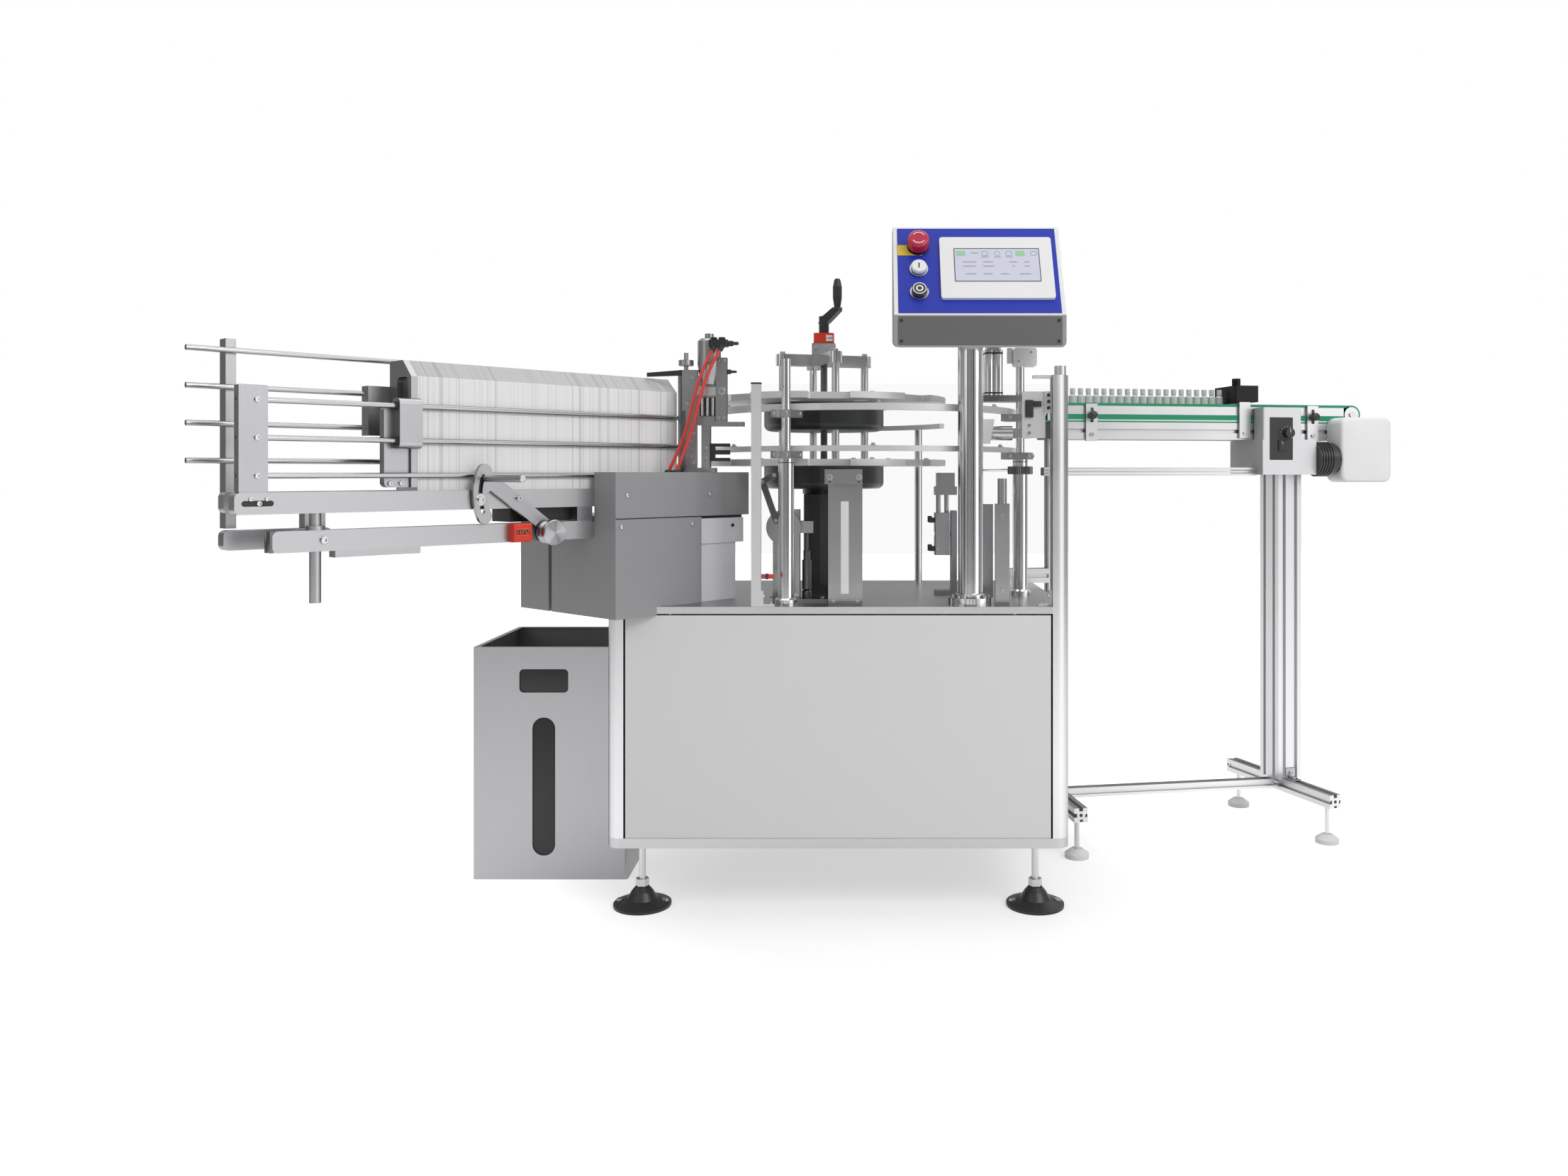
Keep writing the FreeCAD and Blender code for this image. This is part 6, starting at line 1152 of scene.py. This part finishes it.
class CARTONER_OT_magazine(bpy.types.Operator):
    """Screws, bushings, counter window and knob face of the magazine"""
    bl_idname = "cartoner.magazine"
    bl_label = "Magazine fittings"

    def execute(self, context):
        self.dress_beams()
        self.dress_pusher()
        self.dress_link()
        return {"FINISHED"}

    def dress_beams(self):
        """Screws and rod ends of the end plate and the beams, with painted shade in the rod holes, painted shadows
        in the slots, and a black bar of painted shade in the tunnel behind the drive.
        """
        levels = (762, 814, 866)
        screws("plate_screws", on_front(MAGAZINE, [(-14, z) for z in levels], 4), 3.8, 3.0)
        screws("beam_screws", on_front(MAGAZINE, [(-24, 730), (-3, 730)], 0), 2.8, 2.2)
        screws("slot_screw", on_front(MAGAZINE, [(-13, 724)], 2), 3.4, 3.4)
        holes = [MAGAZINE @ move(-38, 12, z) @ LEFT for z in levels]
        build("rod_holes", several(ring(3.0, 5.2, 0.5, 28), holes), "machined_aluminium")
        build("rod_hole_shade", several(disc(3.1, 0.25, 24), holes), "black_plastic")
        screws("stud_screw", on_front(MAGAZINE, [(74, 671)], 0), 5.2, 4.2)
        build("beam_ends", put(bar(2.6, 0.4, 655.4, 4.1, 19.6, 684.6, 3.0), MAGAZINE), "dark_steel")
        slot = put(slab(41.6, 7.8, 0.5, 3.8, 0.1), MAGAZINE @ move(-15, 1.7, 724) @ FRONT)
        arc = put(arc_strip(80, 6.8, 162, 198, 0.5), MAGAZINE @ move(392, -4, 733) @ FRONT)
        build("slot_shadows", together([slot, arc]), "black_plastic")
        build("drive_tunnel_shade", put(bar(382, 20.6, 686, 529, 76, 708), MAGAZINE), "black_plastic")

    def dress_pusher(self):
        """Window, screws and rod bushings of the carriage behind the cartons."""
        body = "pusher_carriage"
        window = put(slab(95.6, 33.6, 1.0, 7.8, 0.2), MAGAZINE @ move(219, 43.3, 864) @ LEFT)
        build("pusher_window", window, "dark_steel", body)
        screws("pusher_screws", on_front(MAGAZINE, [(181, 750), (198, 750)], 21.3), 3.6, 3.0, body=body)
        bush = turned([(4.15, 0), (7.2, 0), (7.2, 1.6), (6.2, 2.4), (4.15, 2.4), (4.15, 0)], 32)
        rods = [MAGAZINE @ move(186, 12, z) @ LEFT for z in (814, 866)]
        build("rod_bushings", several(bush, rods), "black_plastic", body)

    def dress_link(self):
        """Bolt and pin of the slotted link, the handle's end, the counter and the knob's turned face."""
        link_front = -9
        screws("link_bolt", on_front(MAGAZINE, [(312, 724)], link_front), 5.6, 4.2, washer=8.6)
        screws("link_pin", on_front(MAGAZINE, [(378, 725)], link_front), 4.2, 6.0)
        handle = turned([(0, 0), (5.2, 0), (5.2, 0.8), (4.4, 1.4), (0, 1.4)], 28)
        build("handle_end", put(handle, MAGAZINE @ move(320, -116, 757) @ FRONT), "screw_steel")
        counter = MAGAZINE @ move(383, -16, 671)
        build("magazine_window", put(slab(24, 12, 0.4, 1.5, 0.1), counter @ FRONT), "counter_orange")
        figures = put(digits("00325", 8.0, 1.3, 4.8), counter @ move(0, -0.4, 0) @ FRONT)
        build("magazine_figures", figures, "black_plastic")
        # The knob's turned face carries painted highlights in fans
        face = turned([(0, 0), (19.6, 0), (19.9, 0.3), (19.6, 0.7), (0, 0.7)], 48)
        knob = MAGAZINE @ move(*CLAMP_KNOB) @ move(0, -36, 0) @ FRONT
        build("knob_face", put(face, knob), "turned_painted_sheen", "magazine_clamp", 25.0)


class CARTONER_OT_covers(bpy.types.Operator):
    """Screws, seam and a black bar of painted shade in the gap of the grey covers"""
    bl_idname = "cartoner.covers"
    bl_label = "Cover fittings"

    def execute(self, context):
        cover_front, band_front = -60, -56
        spots = [(554, 728), (735, 728), (542, 675), (695, 675)]
        screws("cover_screws", on_front(MAGAZINE, spots, cover_front), 3.6, 2.4)
        build("cover_gap_shade", put(bar(717, -52, 684.2, 820, -6, 688.8), MAGAZINE), "black_plastic")
        seam = bar(530.4, cover_front - 0.3, 687.4, 716.0, cover_front + 0.4, 689.4, 0.2, 0.1)
        build("cover_seam", put(seam, MAGAZINE), "black_plastic")
        screws("band_screw", on_front(MAGAZINE, [(793, 670)], band_front), 3.2, 2.2, "black_plastic")
        return {"FINISHED"}


class CARTONER_OT_conveyor(bpy.types.Operator):
    """Thumb screws, switch plate, end caps, belt edges, motor hood and axle ends of the conveyor"""
    bl_idname = "cartoner.conveyor"
    bl_label = "Conveyor fittings"

    def execute(self, context):
        rail_front = 92
        thumb = together([round_bar(3, 5), put(knurled(8, 10, 24, 0.5), move(0, 0, 4.6))])
        thumbs = on_front(CONVEYOR, [(67.5, 886), (567.5, 886)], rail_front)
        build("thumb_screws", several(thumb, thumbs), "black_plastic", crease=50.0)
        plates = on_front(CONVEYOR, [(67.5, 846), (567.5, 846), (410.5, 850)], rail_front)
        screws("plate_bolts", plates, 4.2, 3.4)
        self.dress_switches()
        axles = on_front(CONVEYOR, [(-45, 892), (663, 892)], 99)
        build("axle_ends", several(round_bar(6, 3.2), axles), "screw_steel")
        caps = [bar(x, 98.4, 836.4, x + 2, 181.6, 871.6) for x in (-22, 640)]
        build("profile_caps", put(together(caps), CONVEYOR), "black_plastic")
        build("tie_cap", put(bar(-42, 81.3, 760.3, -40, 97.7, 776.7), CONVEYOR), "black_plastic")
        self.dress_stands()
        fins = [put(ring(34.8, 37.0, 2.2, 48),
                    CONVEYOR @ move(558 + 6 * k, 70, 795) @ RIGHT) for k in range(5)]
        build("motor_fins", together(fins), "black_steel")
        edge_front, edge_back = 97.5, 98.2
        carrying = bar(-30, edge_front, 906.6, 650, edge_back, 911.4, 0.2, 0.1)
        returning = bar(-20, edge_front, 878, 645, edge_back, 888.5, 0.2, 0.1)
        build("belt_edges", put(together([carrying, returning]), CONVEYOR), "belt_green")
        hood = put(cushioned(117, 138, 56, 16, 7), CONVEYOR @ move(662.5, 98, 815) @ FRONT)
        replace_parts(build("motor_hood", hood, "white_plastic"), "motor_cover")
        return {"FINISHED"}

    def dress_switches(self):
        """Black plate on the drive box with the speed knob's ticks and line and the rocker in its frame."""
        box_front = SPEED_KNOB[1]
        plate = put(slab(53, 90, 0.22, 2.0, 0.05), CONVEYOR @ move(473.5, box_front, 838) @ FRONT)
        build("switch_plate", plate, "black_plastic")
        knob = CONVEYOR @ move(*SPEED_KNOB)
        dial = knob @ move(0, -0.22, 0) @ FRONT
        ticks = [dial @ turn("z", angle) @ move(0, 14, 0) for angle in range(-135, 136, 27)]
        build("speed_ticks", several(slab(0.7, 2.4, 0.1, 0.2, 0.03), ticks), "white_plastic")
        rocker = CONVEYOR @ move(475, box_front - 0.2, 824)
        build("rocker_frame", put(window_frame(17, 25, 1.6, 2.0), rocker @ FRONT), "black_plastic")
        build("rocker", put(slab(13.4, 21.4, 3.2, 1.0, 1.0), rocker @ FRONT), "black_plastic")
        mark = put(slab(1.0, 5, 0.2, 0.3, 0.05), rocker @ move(0, -3.18, 5) @ FRONT)
        build("rocker_mark", mark, "white_plastic")
        line = put(slab(1.2, 8, 0.4, 0.4, 0.1), knob @ move(0, -14.2, 5) @ FRONT)
        build("knob_line", line, "white_plastic", "speed_dial")

    def dress_stands(self):
        """Black slots and hole of painted shade in the ends of the foot bars, and the angles that hold both
        columns on them.
        """
        stand = CONVEYOR @ move(519, 140, 0) @ turn("z", 10)
        left_stand = CONVEYOR @ move(0, 140, 0)
        bar_top, thin = 104, 0.25
        half_length, middle_height = 167.5, 90
        slots = [bar(-3, 0, 9, 3, thin, 13, 0.1, 0.05), bar(-3, 0, -13, 3, thin, -9, 0.1, 0.05),
                 bar(9, 0, -3, 13, thin, 3, 0.1, 0.05), bar(-13, 0, -3, -9, thin, 3, 0.1, 0.05),
                 put(disc(3.4, thin), FRONT @ move(0, 0, -thin))]
        ends = [place @ move(0, y, middle_height)
                for place in (stand, left_stand) for y in (-half_length - thin, half_length)]
        build("foot_bar_slot_shade", several(together(slots), ends), "black_plastic")
        gusset = together([bar(-12, -52, bar_top, 12, -30, 107), bar(-12, -33, bar_top, 12, -30, 128)])
        build("stand_angles", several(gusset, [stand, stand @ turn("z", 180)]), "machined_aluminium")
        screws("angle_bolts", [stand @ move(0, -43, 107), stand @ move(0, -33, 118) @ FRONT], 4.2, 4.0)
        small = together([bar(-9, -33, bar_top, 9, -15, 107), bar(-9, -18, bar_top, 9, -15, 124)])
        build("post_angles", several(small, [left_stand, left_stand @ turn("z", 180)]), "machined_aluminium")


# Stage: each lamp's place, the point it looks at and its size, in metres

LAMPS = {
    "key_light": ((2.2, -2.6, 2.9), (0.1, 0.1, 0.7), (2.2, 1.8)),
    "fill_light": ((-2.8, -2.2, 1.9), (-0.2, 0.2, 0.7), (2.0, 2.0)),
    "side_light": ((3.6, -1.4, 1.5), (0.7, 0.3, 0.7), (3.0, 2.6)),
    "top_light": ((0.0, 0.6, 3.4), (0.0, 0.2, 0.5), (2.6, 2.0)),
}

# Cards that only shiny parts see: radius and height in metres, first and last turn or middle and half turn

GREY_CARDS = {"card_band": (4.4, 2.3, (-205, -46)), "card_right": (4.4, 2.3, (-14, 30)),
              "card_back": (3.6, 1.9, (55, 125))}
DARK_STRIPS = ((-152, 9), (-118, 4), (-98, 2.5), (-82, 3), (-66, 5), (-8, 5))
STRIP_RADIUS = 4.1
STRIP_HEIGHT = 2.6
FLOOR_HALF = 9.0
FLOOR_GREY = 0.72
SENSOR_WIDTH = 36


def lamp(name, place, target, size, power):
    """Soft square light that looks at a point."""
    data = bpy.data.lights.new(name, "AREA")
    data.shape = "RECTANGLE"
    data.size, data.size_y = size
    data.energy = power
    piece = bpy.data.objects.new(name, data)
    bpy.context.scene.collection.objects.link(piece)
    toward = np.array(target) - np.array(place)
    flat = math.hypot(toward[0], toward[1])
    piece.location = place
    piece.rotation_euler = (math.atan2(flat, -toward[2]), 0, math.atan2(toward[0], -toward[1]) + math.pi)


def card(name, material, radius, height, first, last):
    """Curved upright card on the floor: (radius cos t, radius sin t, z) between two turns in degrees."""
    t = np.radians(np.linspace(first, last, 25))
    foot = np.column_stack([radius * np.cos(t), radius * np.sin(t)])
    mesh = bpy.data.meshes.new(name)
    points = np.concatenate([laid(foot, 0.0), laid(foot, height)])
    mesh.from_pydata(points.tolist(), [], grid_quads(2, len(t), False).tolist())
    mesh.materials.append(bpy.data.materials[material])
    piece = bpy.data.objects.new(name, mesh)
    bpy.context.scene.collection.objects.link(piece)
    piece.visible_camera = False
    piece.visible_diffuse = False
    piece.visible_shadow = False
    piece.visible_transmission = False


def stage_paper(name, grey, glow):
    """Matt surface with a white or grey glow of its own."""
    material = bpy.data.materials.new(name)
    material.use_nodes = True
    shader = material.node_tree.nodes["Principled BSDF"]
    shader.inputs["Base Color"].default_value = (grey, grey, grey, 1)
    shader.inputs["Specular IOR Level"].default_value = 0.0
    shader.inputs["Emission Color"].default_value = (glow, glow, glow, 1)
    shader.inputs["Emission Strength"].default_value = 1.0
    return shader


def seen_directly(tree):
    """1 for camera, glossy and transmission rays, 0 for the light that falls on the object."""
    path = tree.nodes.new("ShaderNodeLightPath")
    first = math_node(tree, "ADD", path.outputs["Is Camera Ray"], path.outputs["Is Glossy Ray"])
    total = math_node(tree, "ADD", first, path.outputs["Is Transmission Ray"])
    return math_node(tree, "MINIMUM", total, 1.0)


def sky(level):
    """White world to the eye and in reflections, which lights the object at a lower level."""
    world = bpy.data.worlds.new("sky")
    world.use_nodes = True
    tree = world.node_tree
    background = tree.nodes["Background"]
    background.inputs["Color"].default_value = (1, 1, 1, 1)
    strength = math_node(tree, "MULTIPLY_ADD", seen_directly(tree), 1.0 - level, level)
    feed(tree, background.inputs["Strength"], strength)
    return world


def floor(reach, glow):
    """White floor that takes shadows, with painted shade: the glow that is seen on it is lower near the object and
    grows outwards, which darkens the floor round the object.
    """
    shader = stage_paper("stage_floor", FLOOR_GREY, 1.0)
    shader.inputs["Roughness"].default_value = 1.0
    tree = shader.id_data
    away = calculate(tree, "VectorMath", "LENGTH", object_place(tree)).outputs["Value"]
    # Painted shade: less glow near the object, on top of the real shadow
    strength = math_node(tree, "MULTIPLY", seen_directly(tree), ramp(tree, away, *reach, *glow))
    feed(tree, shader.inputs["Emission Strength"], strength)
    corners = [(x * FLOOR_HALF, y * FLOOR_HALF, 0) for x, y in ((-1, -1), (1, -1), (1, 1), (-1, 1))]
    mesh = bpy.data.meshes.new("floor")
    mesh.from_pydata(corners, [], [(0, 1, 2, 3)])
    mesh.materials.append(bpy.data.materials["stage_floor"])
    piece = bpy.data.objects.new("floor", mesh)
    bpy.context.scene.collection.objects.link(piece)


class CartonerStage(bpy.types.PropertyGroup):
    """Camera, light levels and floor"""
    camera_place: FloatVectorProperty(name="Camera place", description="From the cabinet's front middle",
                                      default=(0.040, -2.025, 0.766), subtype="TRANSLATION", unit="LENGTH")
    lens: FloatProperty(name="Lens", description="Focal length", default=0.027, unit="LENGTH")
    shift_x: FloatProperty(name="Shift across", description="Picture shift across", default=-0.0493)
    shift_y: FloatProperty(name="Shift up", description="Picture shift up", default=-0.0735)
    sky_level: FloatProperty(name="Sky level", description="Light from all round", default=0.42)
    key_power: FloatProperty(name="Key power", description="Main light", default=62.0, unit="POWER")
    fill_power: FloatProperty(name="Fill power", description="Light from the left", default=7.0, unit="POWER")
    side_power: FloatProperty(name="Side power", description="Light from the right", default=9.0,
                              unit="POWER")
    top_power: FloatProperty(name="Top power", description="Light from above", default=24.0, unit="POWER")
    card_grey: FloatProperty(name="Card grey", description="Grey of the large reflected cards", default=0.33)
    floor_glow: FloatVectorProperty(name="Floor glow", description="Extra white of the floor near and far",
                                    default=(0.46, 0.95), size=2)
    floor_reach: FloatVectorProperty(name="Floor reach", description="Where the near and far floor begin",
                                     default=(0.35, 0.95), size=2, unit="LENGTH")


class CARTONER_OT_stage(bpy.types.Operator):
    """Sky, floor, lights, and grey and dark cards for the reflections"""
    bl_idname = "cartoner.stage"
    bl_label = "Stage"

    def execute(self, context):
        stage = context.scene.cartoner_stage
        context.scene.view_settings.view_transform = "Standard"
        context.scene.world = sky(stage.sky_level)
        stage_paper("stage_dark", 0.0, 0.02)
        stage_paper("stage_grey", 0.0, stage.card_grey)
        floor(stage.floor_reach, stage.floor_glow)
        powers = (stage.key_power, stage.fill_power, stage.side_power, stage.top_power)
        for (name, (place, target, size)), power in zip(LAMPS.items(), powers):
            lamp(name, place, target, size, power)
        for name, (radius, height, turns) in GREY_CARDS.items():
            card(name, "stage_grey", radius, height, *turns)
        for number, (middle, half) in enumerate(DARK_STRIPS):
            first, last = middle - half, middle + half
            card("card_strip_%d" % number, "stage_dark", STRIP_RADIUS, STRIP_HEIGHT, first, last)
        return {"FINISHED"}


class CARTONER_OT_camera(bpy.types.Operator):
    """Level camera at the place from which the photograph seems to be taken"""
    bl_idname = "cartoner.camera"
    bl_label = "Camera"

    def execute(self, context):
        stage = context.scene.cartoner_stage
        data = bpy.data.cameras.new("camera")
        data.lens = stage.lens / MM
        data.sensor_width = SENSOR_WIDTH
        data.shift_x = stage.shift_x
        data.shift_y = stage.shift_y
        camera = bpy.data.objects.new("camera", data)
        context.scene.collection.objects.link(camera)
        camera.location = np.array(stage.camera_place) + CABINET[:3, 3] * MM
        camera.rotation_euler = (math.pi / 2, 0, 0)
        context.scene.camera = camera
        return {"FINISHED"}


class CartonerSizes(bpy.types.PropertyGroup):
    """Sizes of the fittings"""
    small_screw: FloatProperty(name="Small screw", description="Head radius of the small screws",
                               default=0.0034, unit="LENGTH")
    thread_pitch: FloatProperty(name="Thread pitch", description="Pitch of the spindle", default=0.0032,
                                unit="LENGTH")


STEPS = [
    CARTONER_OT_finishes, CARTONER_OT_camera, CARTONER_OT_tubes, CARTONER_OT_cabinet, CARTONER_OT_bin,
    CARTONER_OT_operator_panel, CARTONER_OT_guard, CARTONER_OT_turret, CARTONER_OT_columns, CARTONER_OT_deck,
    CARTONER_OT_picker, CARTONER_OT_magazine, CARTONER_OT_covers, CARTONER_OT_conveyor, CARTONER_OT_stage,
]


class CARTONER_PT_panel(bpy.types.Panel):
    """Buttons for each group of pieces"""
    bl_idname = "CARTONER_PT_panel"
    bl_label = "Automatic Cartoner"
    bl_space_type = "VIEW_3D"
    bl_region_type = "UI"
    bl_category = "Cartoner"

    def draw(self, context):
        for step in STEPS:
            self.layout.operator(step.bl_idname)


GROUPS = {"cartoner_colors": CartonerColors, "cartoner_sizes": CartonerSizes, "cartoner_stage": CartonerStage}


def register():
    for group in GROUPS.values():
        bpy.utils.register_class(group)
    for name, group in GROUPS.items():
        setattr(bpy.types.Scene, name, PointerProperty(type=group))
    for step in STEPS + [CARTONER_PT_panel]:
        bpy.utils.register_class(step)


def unregister():
    for step in reversed(STEPS + [CARTONER_PT_panel]):
        bpy.utils.unregister_class(step)
    for name in GROUPS:
        delattr(bpy.types.Scene, name)
    for group in GROUPS.values():
        bpy.utils.unregister_class(group)


def main():
    register()
    for step in STEPS:
        group, name = step.bl_idname.split(".")
        getattr(getattr(bpy.ops, group), name)()


if __name__ == "__main__":
    main()
